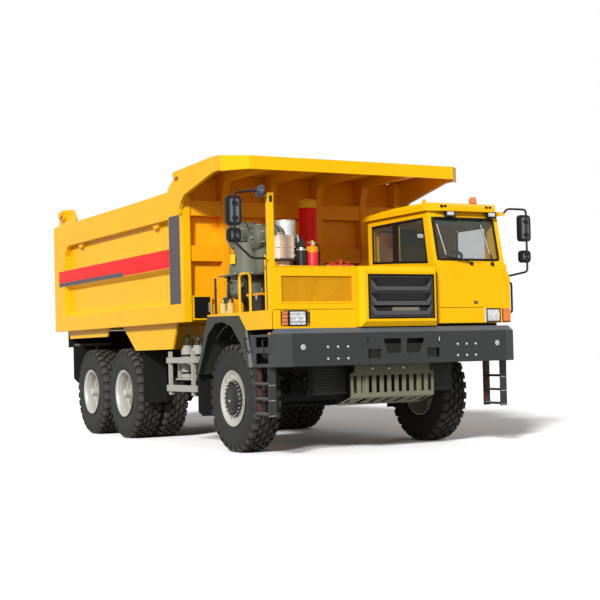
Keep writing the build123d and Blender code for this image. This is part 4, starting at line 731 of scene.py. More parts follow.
# Closing gaps of the panel and of the cab's nose, the latch, and the lip along the panel's top
shape = Shape()
shape.block((-1.712, -0.60), (-1.4515, -1.449), (1.754, 1.760), "shadow_gap")
shape.block((0.64, 1.30), (-1.4515, -1.449), (1.764, 1.770), "shadow_gap")
shape.block(about(1.190, 0.026), (-1.458, -1.449), about(1.832, 0.017), "black_plastic")
shape.disc((1.190, -1.458, 1.832), AHEAD, 0.009, 0, 0.005, "worn_steel")
shape.tube([(-1.715, -1.449, 2.266), (-0.566, -1.449, 2.266)], 0.007, "yellow", 8)
shape.piece("front_seams", "black_plastic")

GRILLE_X = -0.0185        # middle of the grille
GRILLE = -1.5865          # face of its plate


def louvre(shape, foot, top, wide=0.43):
    """A dark mesh pocket with slanted lower corners, over its slat in a paler grey that is painted light."""
    pocket = [(-wide, top), (-wide, foot + 0.075), (-wide + 0.085, foot), (wide - 0.085, foot),
              (wide, foot + 0.075), (wide, top)]
    shape.prism([(GRILLE_X + x, z) for x, z in pocket], 1, (GRILLE - 0.002, GRILLE + 0.004), "shadow_gap")
    shape.mesh_pane(about(GRILLE_X, wide - 0.09), (foot + 0.006, top - 0.006), GRILLE - 0.005, 0.016, 0.0045,
                    "hub_black")
    # Slat and wings in the paler grey: painted light
    slat = [(GRILLE, foot + 0.004), (-1.5990, foot - 0.010), (-1.5960, foot - 0.046), (GRILLE, foot - 0.052)]
    shape.prism(slat, 0, about(GRILLE_X, wide - 0.075), "louvre")
    wing = [(wide + 0.004, foot + 0.085), (wide - 0.075, foot + 0.004), (wide - 0.075, foot - 0.046),
            (wide - 0.040, foot - 0.046), (wide + 0.004, foot + 0.020)]
    for side in (-1, 1):
        shape.prism([(GRILLE_X + side * x, z) for x, z in wing], 1, (GRILLE - 0.008, GRILLE + 0.004),
                    "louvre")


shape = Shape()
for foot, top in ((2.020, 2.128), (1.840, 1.945), (1.722, 1.772)):
    louvre(shape, foot, top)
shape.block((-0.16, 0.23), (-1.5925, -1.588), (1.726, 1.768), "olive")
shape.frame(rectangle((-0.497, 0.460), (1.633, 2.173)), rectangle((-0.480, 0.443), (1.650, 2.156)), 1,
            (-1.594, -1.584), "shadow_gap")
for x in (-0.470, 0.433):
    for z in (1.665, 1.90, 2.145):
        shape.dome((x, GRILLE, z), AHEAD, 0.008, "hub_black")
shape.piece("grille_louvres", "grey_paint")

# Brace and post seen through the panel's mesh, with an orange sheet behind them for the shaded yellow wall:
# painted shade
shape = Shape()
shape.prism([(-1.08, 1.80), (-0.60, 2.18), (-0.60, 2.22), (-1.02, 2.22), (-1.18, 1.80)], 1, (-1.40, -1.392),
            "yellow")
shape.block((-1.33, -1.25), (-1.395, -1.36), (1.757, 2.24), "mesh_yellow")
shape.block((-1.70, -0.58), (-1.36, -1.352), (1.757, 2.24), "brace_orange")
shape.block((-1.70, -0.58), (-1.421, -1.352), (2.225, 2.24), "yellow")
# Closing plates and pins behind the bumper's openings, and the guard's bolts
shape.block((-0.56, 0.54), (-1.462, -1.452), (1.10, 1.468), "black_chassis")
shape.block((-0.58, 0.58), (-0.95, -0.90), (0.60, 1.02), "black_chassis")
for x in (-0.49, 0.47):
    shape.block(about(x, 0.05), (-1.580, -1.462), (1.30, 1.455), "hub_black")
for x in (-0.38, 0.36):
    shape.rod((x, -1.535, 1.10), (x, -1.535, 1.30), 0.020, "worn_edge")
for x in (-0.295, -0.057, 0.155):
    shape.dome((x, -1.3125, 1.033), AHEAD, 0.018)
shape.piece("front_inner", "yellow_paint", bevel=0.002)


# Cab

def gasket(shape, corners, radius):
    """A rubber bead along a closed outline with curved corners."""
    path = [Vector(c) for c in corners]
    ring = []
    for i, corner in enumerate(path):
        ring += curved(path[i - 1], corner, path[(i + 1) % len(path)], 0.045, 4)
    shape.tube(ring, radius, "rubber", 8, loop=True)


def screen(x, z, proud=0.0):
    """A place on the sloped windscreen."""
    return Vector((x, -1.400 + 0.140 * (z - 2.345) / 0.655 - proud, z))


SIDE_PANES = [
    ([(-1.265, 2.336), (-0.525, 2.382), (-0.525, 2.926), (-1.172, 2.926)],
     [(-1.243, 2.357), (-0.582, 2.397), (-0.582, 2.908), (-1.155, 2.908)]),
    ([(-0.525, 2.382), (0.056, 2.412), (0.056, 2.922), (-0.525, 2.926)],
     [(-0.468, 2.404), (0.038, 2.430), (0.038, 2.903), (-0.468, 2.908)])]
shape = Shape()
gasket(shape, [screen(x, z, 0.002) for x, z in rectangle((0.664, 1.608), (2.377, 2.913))], 0.016)
gasket(shape, [(x, 0.160, z) for x, z in rectangle((0.762, 1.528), (2.382, 2.868))], 0.013)
for border, pane in SIDE_PANES:
    gasket(shape, [(0.60, y, z) for y, z in pane], 0.010)
    shape.frame(border, pane, 0, (0.5965, 0.602), "black_plastic")
shape.piece("window_gaskets", "flap_rubber", smooth=60)

shape = Shape()
gasket(shape, [(1.690, y, z) for y, z in rectangle((-1.038, -0.382), (2.382, 2.838))], 0.012)
shape.tube([(1.694, -0.47, 2.19), (1.722, -0.46, 2.195), (1.722, -0.39, 2.195), (1.694, -0.38, 2.19)], 0.008,
           "black_plastic", 8, bend=0.01)
shape.disc((1.690, -0.33, 2.18), LEFT, 0.012, 0, 0.008, "worn_steel")
shape.piece("door_trim", "flap_rubber", "cab_door", smooth=60)


def wiper(shape, cap, top, foot):
    """Spindle cap, arm and blade; the places are (x, z)."""
    shape.lathe([(0, 0.026), (0.02, 0.024), (0.032, 0.014)], (cap[0], -1.445, cap[1]), AHEAD, "hub_black",
                16)
    elbow = (foot[0] + 0.02, foot[1] - 0.025)
    shape.tube([(cap[0], -1.470, cap[1]), screen((cap[0] + elbow[0]) / 2, 2.385, 0.052),
                screen(*elbow, 0.046), screen(foot[0], foot[1] + 0.03, 0.040)], 0.008, "black_plastic", 8)
    shape.tube([screen(*foot, 0.036), screen(*top, 0.034)], 0.0075, "worn_steel", 8)
    shape.tube([screen(*foot, 0.026), screen(*top, 0.024)], 0.0055, "rubber", 6)


shape = Shape()
wiper(shape, (1.137, 2.325), (0.700, 2.83), (0.775, 2.43))
wiper(shape, (1.464, 2.320), (1.385, 2.83), (1.455, 2.44))
shape.tube([screen(0.80, 2.40, 0.045), screen(0.95, 2.385, 0.05), (1.15, -1.452, 2.372),
            (1.30, -1.452, 2.365)],
           0.006, "black_plastic", 8, bend=0.08)
shape.piece("wipers", "black_plastic")

shape = Shape()
for x in (0.74, 1.15):
    shape.prism([(-1.245, 2.925), (-1.235, 2.925), (-1.265, 2.815), (-1.275, 2.815)], 0, (x, x + 0.34),
                "interior")
shape.piece("sun_visors", "black_plastic", bevel=0.003)

BEACON = (1.405, -1.150)  # middle of the roof's beacon

# Slots in the roof's front edge, work lamp bezels, and the beacon's collar and flutes
shape = Shape()
for x in (0.80, 1.50):
    for dx in (-0.028, 0.028):
        shape.block(about(x + dx, 0.02), (-1.353, -1.345), (3.045, 3.073), "shadow_gap")
for x in (0.91, 1.56):
    shape.frame(rectangle(about(x, 0.07), (2.93, 3.008)), rectangle(about(x, 0.054), (2.946, 2.994)), 1,
                (-1.345, -1.30), "black_plastic")
    for bulb in about(x, 0.027):
        shape.lathe([(0, 0.021), (0.003, 0.021), (0.001, 0.012)], (bulb, -1.3415, 2.97), AHEAD, "chrome", 20)
shape.lathe([(3.11, 0.058), (3.122, 0.058), (3.128, 0.05)], (*BEACON, 0), UP, "black_plastic", 28)
for k in range(6):
    shape.disc((*BEACON, 3.128 + 0.010 * k), UP, 0.0492, -0.001, 0.003, "amber", 28)
shape.piece("roof_fittings", "black_plastic")


# Mirrors

ARM_R = 0.014
RIGHT_ARM = [(-1.735, -1.39, 3.096), (-1.87, -1.395, 3.148), (-2.16, -1.39, 3.115), (-2.16, -1.39, 2.54),
             (-1.947, -1.39, 2.358), (-1.735, -1.39, 2.358)]
LEFT_ARM = [(1.69, -1.29, 2.985), (1.78, -1.29, 2.985), (1.85, -1.29, 3.06), (2.16, -1.29, 3.06),
            (2.16, -1.29, 2.24), (1.85, -1.29, 2.18), (1.69, -1.29, 2.18)]
GRAB = [(1.74, -1.34, 1.70), (1.85, -1.34, 1.70), (1.85, -1.34, 2.09), (1.74, -1.34, 2.09)]
ROUND_MIRROR = (-1.827, -1.40, 3.140)
ROUND_AIM = (0.87, 0.15, -0.30)


def round_cornered(x, z, reach, inset=0.0):
    """A rectangle drawn in by an inset, with quarter circles for corners."""
    left, right = within(x, inset + reach)
    low, high = within(z, inset + reach)
    out = []
    for quarter, (cx, cz) in enumerate(((right, high), (left, high), (left, low), (right, low))):
        for k in range(5):
            angle = math.pi / 2 * (quarter + k / 4)
            out.append((cx + reach * math.cos(angle), cz + reach * math.sin(angle)))
    return out


def mirror_head(shape, glass, x, z, front):
    """A rounded housing whose back faces forwards, with its paler centre, and the glass behind it."""
    reach = 0.045
    rear = front + 0.06
    for inset, face in ((0.0, front + 0.014), (0.005, front + 0.005), (0.014, front)):
        shape.prism(round_cornered(x, z, reach, inset), 1, (face, rear - 0.004), "black_plastic")
    shape.frame(round_cornered(x, z, reach), round_cornered(x, z, reach - 0.012, 0.014), 1,
                (rear - 0.006, rear), "black_plastic")
    shape.prism(round_cornered(within(x, 0.04), within(z, 0.035), 0.02), 1, (front - 0.004, front + 0.002),
                "mirror_grey")
    glass.prism(round_cornered(x, z, reach - 0.014, 0.016), 1, (rear - 0.005, rear - 0.002), "mirror")
    for k in (0.25, 0.75):
        shape.block(about((x[0] + x[1]) / 2, 0.03), (front - 0.026, front),
                    about(z[0] + (z[1] - z[0]) * k, 0.02), "black_plastic")


shape = Shape()
panes = Shape()
for path, bend in ((RIGHT_ARM, 0.05), (LEFT_ARM, 0.05), (GRAB, 0.04)):
    shape.tube(path, ARM_R, "black_plastic", 12, bend=bend)
    for x, y, z in (path[0], path[-1]):
        shape.lathe([(0, 0.030), (0.008, 0.030), (0.012, 0.020), (0.03, 0.019)], (x, y, z),
                    RIGHT if x < 0 else LEFT, "yellow", 16)
for x, z, front in (((-2.25, -2.055), (2.74, 3.08), -1.38), ((-2.24, -2.065), (2.54, 2.71), -1.38),
                    ((2.055, 2.25), (2.641, 2.991), -1.28), ((2.065, 2.24), (2.361, 2.522), -1.28)):
    mirror_head(shape, panes, x, z, front)
# Round wide-angle mirror turned outwards on its stalk
shape.lathe([(-0.080, 0.012), (-0.052, 0.018), (-0.034, 0.036), (-0.020, 0.062), (-0.006, 0.078),
             (0.006, 0.082),
             (0.010, 0.078), (0.008, 0.070), (0.004, 0.02)], ROUND_MIRROR, ROUND_AIM, "spot_back")
panes.lathe([(0.009, 0.073), (0.013, 0.055), (0.015, 0.02)], ROUND_MIRROR, ROUND_AIM, "mirror")
shape.block((-1.76, -1.735), (-1.405, -1.375), (3.075, 3.125), "black_plastic")
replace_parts(shape.piece("mirror_housings", "black_plastic", smooth=50), "mirrors")

# Brackets of the left mirror's arm, and the bezel of the nose's amber lamp
shape = Shape()
shape.prism([(1.688, 2.955), (1.80, 2.972), (1.80, 2.998), (1.688, 3.015)], 1, (-1.31, -1.27), "yellow")
shape.prism([(1.738, 2.150), (1.80, 2.170), (1.80, 2.195), (1.738, 2.215)], 1, (-1.31, -1.27), "yellow")
shape.frame(rectangle((1.602, 1.716), (1.578, 1.752)), rectangle((1.615, 1.704), (1.592, 1.740)), 1,
            (-1.4575, -1.445), "hub_black")
shape.block((1.612, 1.708), (-1.4575, -1.450), (1.660, 1.668), "hub_black")
shape.piece("cab_brackets", "yellow_paint", bevel=0.003)
panes.piece("mirror_panes", "window_glass")


# Service bay behind the right front panel

DECK = 1.755              # top of the deck, as machinery stands on it
FUNNEL = (-1.325, 0.0)
SEPARATOR = (-1.31, 0.02)


def air_cleaner(shape, face, y, z, r, length):
    """Air cleaner lying across the truck, its clamped lid at face."""
    place = (face, y, z)
    lid = [(0.014, 0.30), (0.014, 0.36), (0.002, 0.40), (0.002, 0.58), (0.014, 0.62), (0.014, 0.76),
           (0.0, 0.80),
           (0.003, 0.86), (0.022, 0.92), (0.030, 1), (0.050, 1), (0.054, 1.035), (0.072, 1.035), (0.076, 1),
           (length - 0.03, 1), (length, 0.92)]
    shape.lathe([(along, r * part) for along, part in lid], place, LEFT, "engine", 48)
    shape.lathe([(-0.014, 0.009), (0.016, 0.011)], place, LEFT, "worn_steel", 12)
    shape.block((face - 0.014, face - 0.006), about(y, 0.032), about(z, 0.007), "worn_steel")
    for a, b in around(8, r * 1.03, 0.5):
        shape.rod((face + 0.040, y + a, z + b), (face + 0.095, y + a, z + b), 0.009, "worn_steel", 8)
    for k in (0.42, 0.78):
        band = [(-0.014, 0.98), (-0.008, 1.022), (0.008, 1.022), (0.014, 0.98)]
        shape.lathe([(length * k + along, r * part) for along, part in band], place, LEFT, "dark_iron", 48)


shape = Shape()
air_cleaner(shape, -1.345, -0.20, 2.716, 0.165, 0.40)
air_cleaner(shape, -1.440, 0.19, 2.770, 0.180, 0.38)
# Funnel under both cleaners, bolted flange and separator bowl
shape.lathe([(0.0, 0.262), (0.022, 0.262), (0.026, 0.240), (0.10, 0.232), (0.20, 0.205), (0.30, 0.170),
             (0.42, 0.150)], (*FUNNEL, 2.243), UP, "engine", 48)
for x, y in ((-1.205, -0.2), (-1.30, 0.19)):
    shape.lathe([(0, 0.115), (0.30, 0.105), (0.42, 0.102)], (x, y, 2.265), UP, "engine")
shape.prism([(-1.60, -0.30), (-1.57, -0.33), (-1.09, -0.33), (-1.06, -0.30), (-1.06, 0.30), (-1.09, 0.33),
             (-1.57, 0.33), (-1.60, 0.30)], 2, (2.240, 2.256), "engine")
for a, b in around(14, 0.249):
    shape.bolt((FUNNEL[0] + a, FUNNEL[1] + b, 2.265), UP, 0.011, 0.010)
shape.lathe([(0.0, 0.170), (0.02, 0.205), (0.05, 0.222), (0.06, 0.232), (0.085, 0.232), (0.095, 0.222),
             (0.20, 0.222), (0.21, 0.234), (0.235, 0.234), (0.245, 0.222), (0.292, 0.222)],
            (*SEPARATOR, 1.95), UP, "engine", 48)
shape.lathe([(0.0, 0.030), (0.02, 0.045), (0.05, 0.110), (0.085, 0.165)], (*SEPARATOR, 1.872), UP,
            "dark_iron")
for x in (-1.48, -1.20):
    for y in (-0.24, 0.22):
        for half, z in ((0.03, (DECK, 1.762)), (0.022, (DECK, 2.245)), (0.04, (2.225, 2.242))):
            shape.block(about(x, half), about(y, half), z, "dark_iron")
for a, b in around(10, 0.226):
    x, y = SEPARATOR[0] + a, SEPARATOR[1] + b
    shape.rod((x, y, 2.03), (x, y, 2.20), 0.010, "engine", 6)
# Precleaner stack, the wide elbow down to the engine with its clamps, and the bar between stack and cleaners
STACK = (-0.873, -0.20, 0)
shape.lathe([(2.600, 0.128), (2.606, 0.135), (2.700, 0.135), (2.704, 0.139), (2.722, 0.139), (2.726, 0.135),
             (2.926, 0.135), (2.930, 0.140), (2.940, 0.140), (2.940, 0.129), (2.740, 0.127), (2.735, 0.004),
             (2.600, 0.004)], STACK, UP, "galvanised", 48, loop=True)
shape.disc(STACK, UP, 0.126, 2.736, 2.742, "shadow_gap", 32)
shape.lathe([(2.566, 0.070), (2.600, 0.130)], STACK, UP, "engine")
shape.tube([(-0.945, -0.20, 2.69), (-0.653, -0.20, 2.69), (-0.653, -0.20, 1.96), (-0.30, -0.20, 1.96)],
           0.085, "dark_iron", 20, bend=0.17, steps=8)
for x, z, aim in ((-0.73, 2.69, LEFT), (-0.653, 2.50, UP), (-0.653, 2.30, UP), (-0.653, 2.12, UP),
                  (-0.46, 1.96, LEFT)):
    shape.lathe([(-0.012, 0.084), (-0.010, 0.089), (0.010, 0.089), (0.012, 0.084)], (x, -0.20, z), aim,
                "worn_steel", 24)
shape.block((-0.96, -0.86), (-0.235, -0.165), (2.62, 2.66), "dark_iron")
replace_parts(shape.piece("air_cleaners", "engine_grey"), "air_intake")

PIPES = [
    ([(-1.44, -0.16, 2.10), (-1.56, -0.30, 2.06), (-1.58, -0.36, 1.90), (-1.46, -0.38, 1.762)], 0.020,
     "rubber"),
    ([(-1.20, -0.18, 2.05), (-1.16, -0.38, 2.05), (-1.16, -0.44, 1.762)], 0.024, "rubber"),
    ([(-1.50, 0.02, 2.16), (-1.60, 0.0, 2.16), (-1.62, 0.0, 1.762)], 0.014, "dark_iron"),
    ([(-1.34, -0.30, 1.90), (-1.34, -0.50, 1.90), (-1.10, -0.52, 1.90), (-0.90, -0.52, 1.90)], 0.016,
     "dark_iron"),
    ([(-1.12, -0.06, 2.62), (-1.02, -0.40, 2.62), (-1.00, -0.60, 2.30), (-1.00, -0.62, 1.762)], 0.013,
     "rubber"),
    ([(-1.11, -0.80, 2.45), (-1.06, -0.79, 2.44), (-1.04, -0.76, 2.20), (-1.04, -0.74, 1.762)], 0.011,
     "rubber")]
shape = Shape()
for corners, radius, look in PIPES:
    path = rounded(corners, 0.06, 6)
    shape.tube(path, radius, look)
    for end, inner in ((path[0], path[2]), (path[-1], path[-3])):
        shape.rod(end, end + (inner - end).normalized() * 0.035, radius * 1.5, "worn_steel", 10)
# Filters, and the pump with its outlets
for x, y, top in ((-1.42, -0.42, 1.99), (-1.24, -0.46, 1.95), (-1.05, -0.45, 2.02), (-1.50, 0.26, 1.98)):
    shape.lathe([(DECK, 0.060), (1.767, 0.060), (1.771, 0.048), (top - 0.045, 0.048), (top - 0.035, 0.056),
                 (top - 0.01, 0.056), (top, 0.020)], (x, y, 0), UP, "dark_iron", 20)
    shape.bolt((x, y, top - 0.002), UP, 0.015, 0.014)
shape.block((-1.15, -0.85), (-0.56, -0.30), (DECK, 1.86), "dark_iron")
shape.block((-1.13, -0.87), (-0.54, -0.32), (1.86, 1.872), "worn_steel")
for x in (-1.10, -1.03, -0.96, -0.90):
    shape.rod((x, -0.56, 1.80), (x, -0.61, 1.80), 0.017, "worn_steel", 10)
    shape.bolt((x, -0.43, 1.872), UP, 0.012, 0.012, "hub_black")
# Blank plate on the funnel's side
across = Vector((0.878, -0.479, 0))
facing = Vector((-0.479, -0.878, 0))
centre = Vector((-1.573, -0.09, 2.446))
shape.solid([centre + across * a + Vector((0, 0, b)) + facing * c
             for c in (0, 0.004) for b in (-0.06, 0.06) for a in (-0.033, 0.033)], BOX_FACES, "yellow")
shape.rod(centre, (-1.46, 0.0, 2.40), 0.008, "worn_steel", 8)
# Bowls of the water separators with brass caps, their stem, and the black case with its lid
for y in (-0.105, 0.110):
    shape.lathe([(1.756, 0.030), (1.768, 0.0455), (1.86, 0.0455), (1.874, 0.0465), (1.884, 0.0465),
                 (1.890, 0.034)], (-1.62, y, 0), UP, "cream", 28)
    shape.lathe([(1.884, 0.034), (1.894, 0.036), (1.915, 0.036), (1.922, 0.020), (1.937, 0.019)],
                (-1.62, y, 0), UP, "brass", 20)
shape.lathe([(1.756, 0.0155), (2.05, 0.0155), (2.055, 0.019), (2.075, 0.019), (2.08, 0.0155),
             (2.23, 0.0155)],
            (-1.62, 0.345, 0), UP, "dark_iron", 16)
shape.block((-1.633, -1.337), (-0.984, -0.636), (DECK, 1.952), "black_plastic")
shape.block((-1.653, -1.317), (-1.003, -0.617), (1.948, 1.978), "collar_orange")
for y in (-0.90, -0.72):
    shape.block((-1.660, -1.650), about(y, 0.02), (1.90, 1.965), "worn_steel")
shape.piece("bay_machinery", "engine_grey", bevel=0.002)

# Seam, ribs, cap and foot band of the coolant tank
shape = Shape()
shape.block((-1.352, -1.103), (-0.907, -0.723), (2.534, 2.544), "tank_white")
for z in ((2.404, 2.450), (2.468, 2.520), (2.558, 2.610), (2.628, 2.674)):
    for x in ((-1.328, -1.240), (-1.215, -1.127)):
        shape.block(x, (-0.904, -0.899), z, "tank_white")
    shape.block((-1.349, -1.344), (-0.882, -0.748), z, "tank_white")
shape.lathe([(2.690, 0.040), (2.700, 0.040), (2.704, 0.036), (2.722, 0.036), (2.726, 0.030)],
            (-1.27, -0.815, 0), UP, "tank_white", 20)
for a, b in around(12, 0.036):
    shape.rod((-1.27 + a, -0.815 + b, 2.704), (-1.27 + a, -0.815 + b, 2.720), 0.004, "tank_white", 6)
shape.block((-1.36, -1.095), (-0.915, -0.715), (2.376, 2.388), "hub_black")
shape.piece("tank_details", "tank_plastic", bevel=0.004)

# Red extinguisher with its valve, handle, gauge, hose and bands, and the black bottle beside it
shape = Shape()
x, y = -0.811, -0.80
red_bottle = (x, y, 0)
shape.lathe([(1.756, 0.068), (1.764, 0.076), (2.480, 0.076), (2.490, 0.074)], red_bottle, UP, "red", 40)
shape.lathe([(2.486, 0.0775), (2.540, 0.0775), (2.558, 0.060), (2.566, 0.030)], red_bottle, UP,
            "collar_orange", 40)
shape.lathe([(2.560, 0.024), (2.585, 0.024), (2.588, 0.030), (2.604, 0.030), (2.608, 0.018), (2.638, 0.018)],
            red_bottle, UP, "brass", 20)
shape.block((x - 0.069, x + 0.051), about(y, 0.010), (2.606, 2.616), "brass")
shape.prism([(x - 0.066, 2.632), (x + 0.02, 2.640), (x + 0.02, 2.632), (x - 0.066, 2.624)], 1,
            about(y, 0.008), "hub_black")
shape.lathe([(0, 0.020), (0.012, 0.020), (0.014, 0.017)], (x, y - 0.022, 2.592), AHEAD, "worn_steel", 20)
shape.tube([(x + 0.02, y, 2.594), (x + 0.07, y - 0.02, 2.594), (x + 0.088, y - 0.02, 2.50),
            (x + 0.088, y - 0.02, 2.12)], 0.010, "rubber", bend=0.04)
shape.lathe([(-0.104, 0.020), (-0.10, 0.020), (0, 0.012)], (x + 0.088, y - 0.02, 2.125), UP, "rubber", 14)
for z in (1.92, 2.30):
    shape.lathe([(z - 0.016, 0.0755), (z - 0.014, 0.0785), (z + 0.014, 0.0785), (z + 0.016, 0.0755)],
                red_bottle, UP, "worn_steel")
black_bottle = (-0.968, y, 0)
shape.lathe([(1.756, 0.060), (1.764, 0.066), (2.505, 0.066), (2.512, 0.064)], black_bottle, UP, "hub_black",
            36)
shape.lathe([(2.508, 0.069), (2.520, 0.069), (2.526, 0.062), (2.530, 0.030), (2.545, 0.028)], black_bottle,
            UP, "galvanised", 36)
shape.block((-1.05, -0.73), (-0.735, -0.722), (DECK, 2.40), "hub_black")
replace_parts(shape.piece("extinguishers", "hoist_red"), "extinguisher")


def hand_wheel(shape, x, y, z, radius, bar, look, n, sides):
    """The rim of a small hand wheel."""
    shape.tube([(x + a, y + b, z) for a, b in around(n, radius)], bar, look, sides, loop=True)


# Valves on a pipe behind the panel's top edge
shape = Shape()
shape.rod((-0.90, -1.30, 2.285), (-0.52, -1.30, 2.285), 0.014, "brass", 12)
for x in (-0.88, -0.54):
    shape.rod((x, -1.30, 1.756), (x, -1.30, 2.285), 0.012, "hub_black", 10)
for x, z, radius in ((-0.70, 2.350, 0.042), (-0.60, 2.325, 0.032)):
    shape.lathe([(2.262, 0.020), (2.270, 0.030), (2.300, 0.030), (2.308, 0.018), (z - 0.02, 0.016)],
                (x, -1.30, 0), UP, "red", 16)
    shape.rod((x, -1.30, 2.30), (x, -1.30, z + 0.006), 0.006, "worn_steel", 8)
    hand_wheel(shape, x, -1.30, z, radius, 0.0065, "red", 20, 8)
    for a, b in around(3, radius):
        shape.rod((x, -1.30, z), (x + a, -1.30 + b, z), 0.0045, "red", 6)
shape.block((-0.86, -0.79), (-1.318, -1.282), (2.275, 2.315), "red")
shape.prism([(-0.86, 2.318), (-0.77, 2.330), (-0.77, 2.322), (-0.86, 2.310)], 1, (-1.31, -1.29), "red")
shape.piece("valve_group", "hoist_red", bevel=0.002)

# Small fittings of the front post
shape = Shape()
shape.block((-1.722, -1.688), (-1.432, -1.419), (3.020, 3.095), "hub_black")
shape.block((-1.742, -1.658), (-1.427, -1.343), (3.112, 3.124), "yellow")
for z in (1.80, 2.05, 2.20):
    shape.dome((-1.70, -1.420, z), AHEAD, 0.008)
shape.piece("post_fittings", "yellow_paint", bevel=0.003)


# Hoist

HOIST = (0, 0.77, 0)
COVER_R = 0.120
shape = Shape()
shape.rod((0.112, 0.77, 2.0), (0.160, 0.77, 2.0), 0.030, "worn_steel", 24)
shape.lathe([(0, 0.048), (0.012, 0.045)], (0.116, 0.77, 2.0), LEFT, "red", 24)
shape.mirrored()
# Sleeve and its foot ring in the brightened red: painted light
shape.lathe([(1.480, COVER_R), (3.255, COVER_R), (3.255, COVER_R - 0.009), (1.480, COVER_R - 0.009)], HOIST,
            UP, "sleeve_red", 56, loop=True)
shape.lathe([(1.480, COVER_R - 0.008), (1.484, COVER_R + 0.004), (1.508, COVER_R + 0.004),
             (1.512, COVER_R - 0.008)], HOIST, UP, "sleeve_red", 56, loop=True)
# Collar at the sleeve's top in the brightened yellow: painted light
shape.lathe([(3.230, 0.118), (3.236, 0.1285), (3.330, 0.1285), (3.345, 0.122), (3.350, 0.110)], HOIST, UP,
            "collar_yellow", 56)
shape.disc(HOIST, UP, 0.040, 1.43, 3.27, "chrome", 24)
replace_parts(shape.piece("hoist_sleeve", "hoist_red", "hoist_cover"), "hoist_cover")


# Steps and fenders

shape = Shape()
for z in (1.111, 1.288):
    shape.block((1.43, 1.715), (-1.33, -1.03), (z - 0.012, z), "dark_iron")
    for k in range(9):
        shape.block(about(1.44 + 0.265 * k / 8, 0.004), (-1.33, -1.03), (z, z + 0.010), "worn_edge")
for top, foot in (((-0.786, 1.429), (-0.862, 1.269)), ((-1.268, 1.405), (-1.307, 1.228))):
    shape.tube([(1.738, *top), (1.778, *top), (1.778, *foot), (1.738, *foot)], 0.009, "black_plastic",
               bend=0.02)
shape.block((1.732, 1.748), (-1.402, -1.366), (1.462, 1.490), "amber")
# Wear plate, rivets and treads of the ladder straps
shape.block((1.660, 1.695), (-0.9685, -0.9655), (0.505, 1.075), "primer_red")
for z in (0.51, 0.69, 0.87):
    for x in (1.66, 1.69, 1.72):
        shape.dome((x, -1.3265, z), AHEAD, 0.008)
    shape.block((1.640, 1.735), (-1.315, -0.965), (z + 0.008, z + 0.022), "dark_iron")
    for k in range(10):
        shape.block((1.640, 1.735), about(-1.30 + 0.325 * k / 9, 0.004), (z + 0.022, z + 0.030), "worn_edge")
# Paler strip along the fender's front edge, a painted highlight, and the fender's bolts
shape.prism([(-0.800, 1.535), (-0.745, 1.543), (-0.830, 1.085), (-0.925, 1.085)], 0, (1.7395, 1.7412),
            "worn_edge")
for y, z in ((-0.66, 1.60), (-0.50, 1.69), (-0.20, 1.695), (0.10, 1.70), (0.33, 1.66), (0.50, 1.42),
             (0.64, 1.14)):
    shape.dome((1.7395, y, z), LEFT, 0.009, "hub_black")
shape.mirrored().piece("step_fittings", "grey_paint", bevel=0.0015)

# Ribs of the inner arches over the front tyres
shape = Shape()
angles = [math.radians(20 + 10 * k) for k in range(15)]
for x in (1.15, 1.35, 1.55):
    shape.tube([(x, 0.735 * math.cos(a), 0.90 + 0.735 * math.sin(a)) for a in angles], 0.012, "olive", 8)
shape.mirrored().piece("arch_ribs", "grey_paint")


# Side rack and fuel tank

shape = Shape()
for y in (1.330, 1.680):
    bottle = (-1.45, y, 0)
    shape.lathe([(0.925, 0.070), (0.940, 0.087), (1.300, 0.087), (1.330, 0.080), (1.365, 0.050),
                 (1.380, 0.035)],
                bottle, UP, "rack")
    for z in (1.00, 1.24):
        shape.lathe([(z - 0.016, 0.087), (z - 0.014, 0.090), (z + 0.014, 0.090), (z + 0.016, 0.087)], bottle,
                    UP, "hub_black")
    shape.lathe([(1.375, 0.030), (1.440, 0.030), (1.445, 0.022), (1.500, 0.022)], bottle, UP, "dark_iron",
                16)
    shape.rod((-1.45, y, 1.46), (-1.45, y - 0.07, 1.46), 0.012, "worn_steel", 10)
    hand_wheel(shape, -1.45, y, 1.515, 0.034, 0.006, "hub_black", 16, 6)
    shape.rod((-1.45, y, 1.49), (-1.45, y, 1.518), 0.008, "hub_black", 8)
    shape.rod((-1.485, y, 1.515), (-1.415, y, 1.515), 0.005, "hub_black", 6)
shape.tube([(-1.45, 1.26, 1.46), (-1.45, 1.16, 1.46), (-1.47, 1.11, 1.40), (-1.47, 1.11, 1.20)], 0.014,
           "rubber", bend=0.05)
shape.tube([(-1.45, 1.61, 1.46), (-1.45, 1.52, 1.46), (-1.42, 1.50, 1.30), (-1.36, 1.50, 1.12),
            (-0.48, 1.50, 1.12)], 0.014, "rubber", bend=0.05)
for y in (1.11, 1.89):
    for z in (0.79, 1.18):
        shape.dome((-1.650, y, z), RIGHT, 0.010)
shape.piece("rack_fittings", "rack_paint")

# Straps round the tank, and its filler cap
shape = Shape()
outline = [(1.275, 0.64), (1.555, 0.64), (1.644, 0.676), (1.68, 0.765), (1.68, 1.035), (1.644, 1.124),
           (1.555, 1.16), (1.275, 1.16), (1.186, 1.124), (1.15, 1.035), (1.15, 0.765), (1.186, 0.676)]
band = [(1.415 + (x - 1.415) * 1.012, 0.90 + (z - 0.90) * 1.012) for x, z in outline]
for y in (1.155, 1.385, 2.035, 2.245):
    shape.frame(band, outline, 1, about(y, 0.022), "hub_black" if 1.2 < y < 2.2 else "rack")
shape.lathe([(0, 0.055), (0.02, 0.055), (0.024, 0.048), (0.05, 0.046), (0.056, 0.036)], (1.60, 1.27, 1.135),
            (0.6, 0, 0.8), "hub_black", 28)
shape.piece("tank_straps", "rack_paint")


# Underbody

shape = Shape()
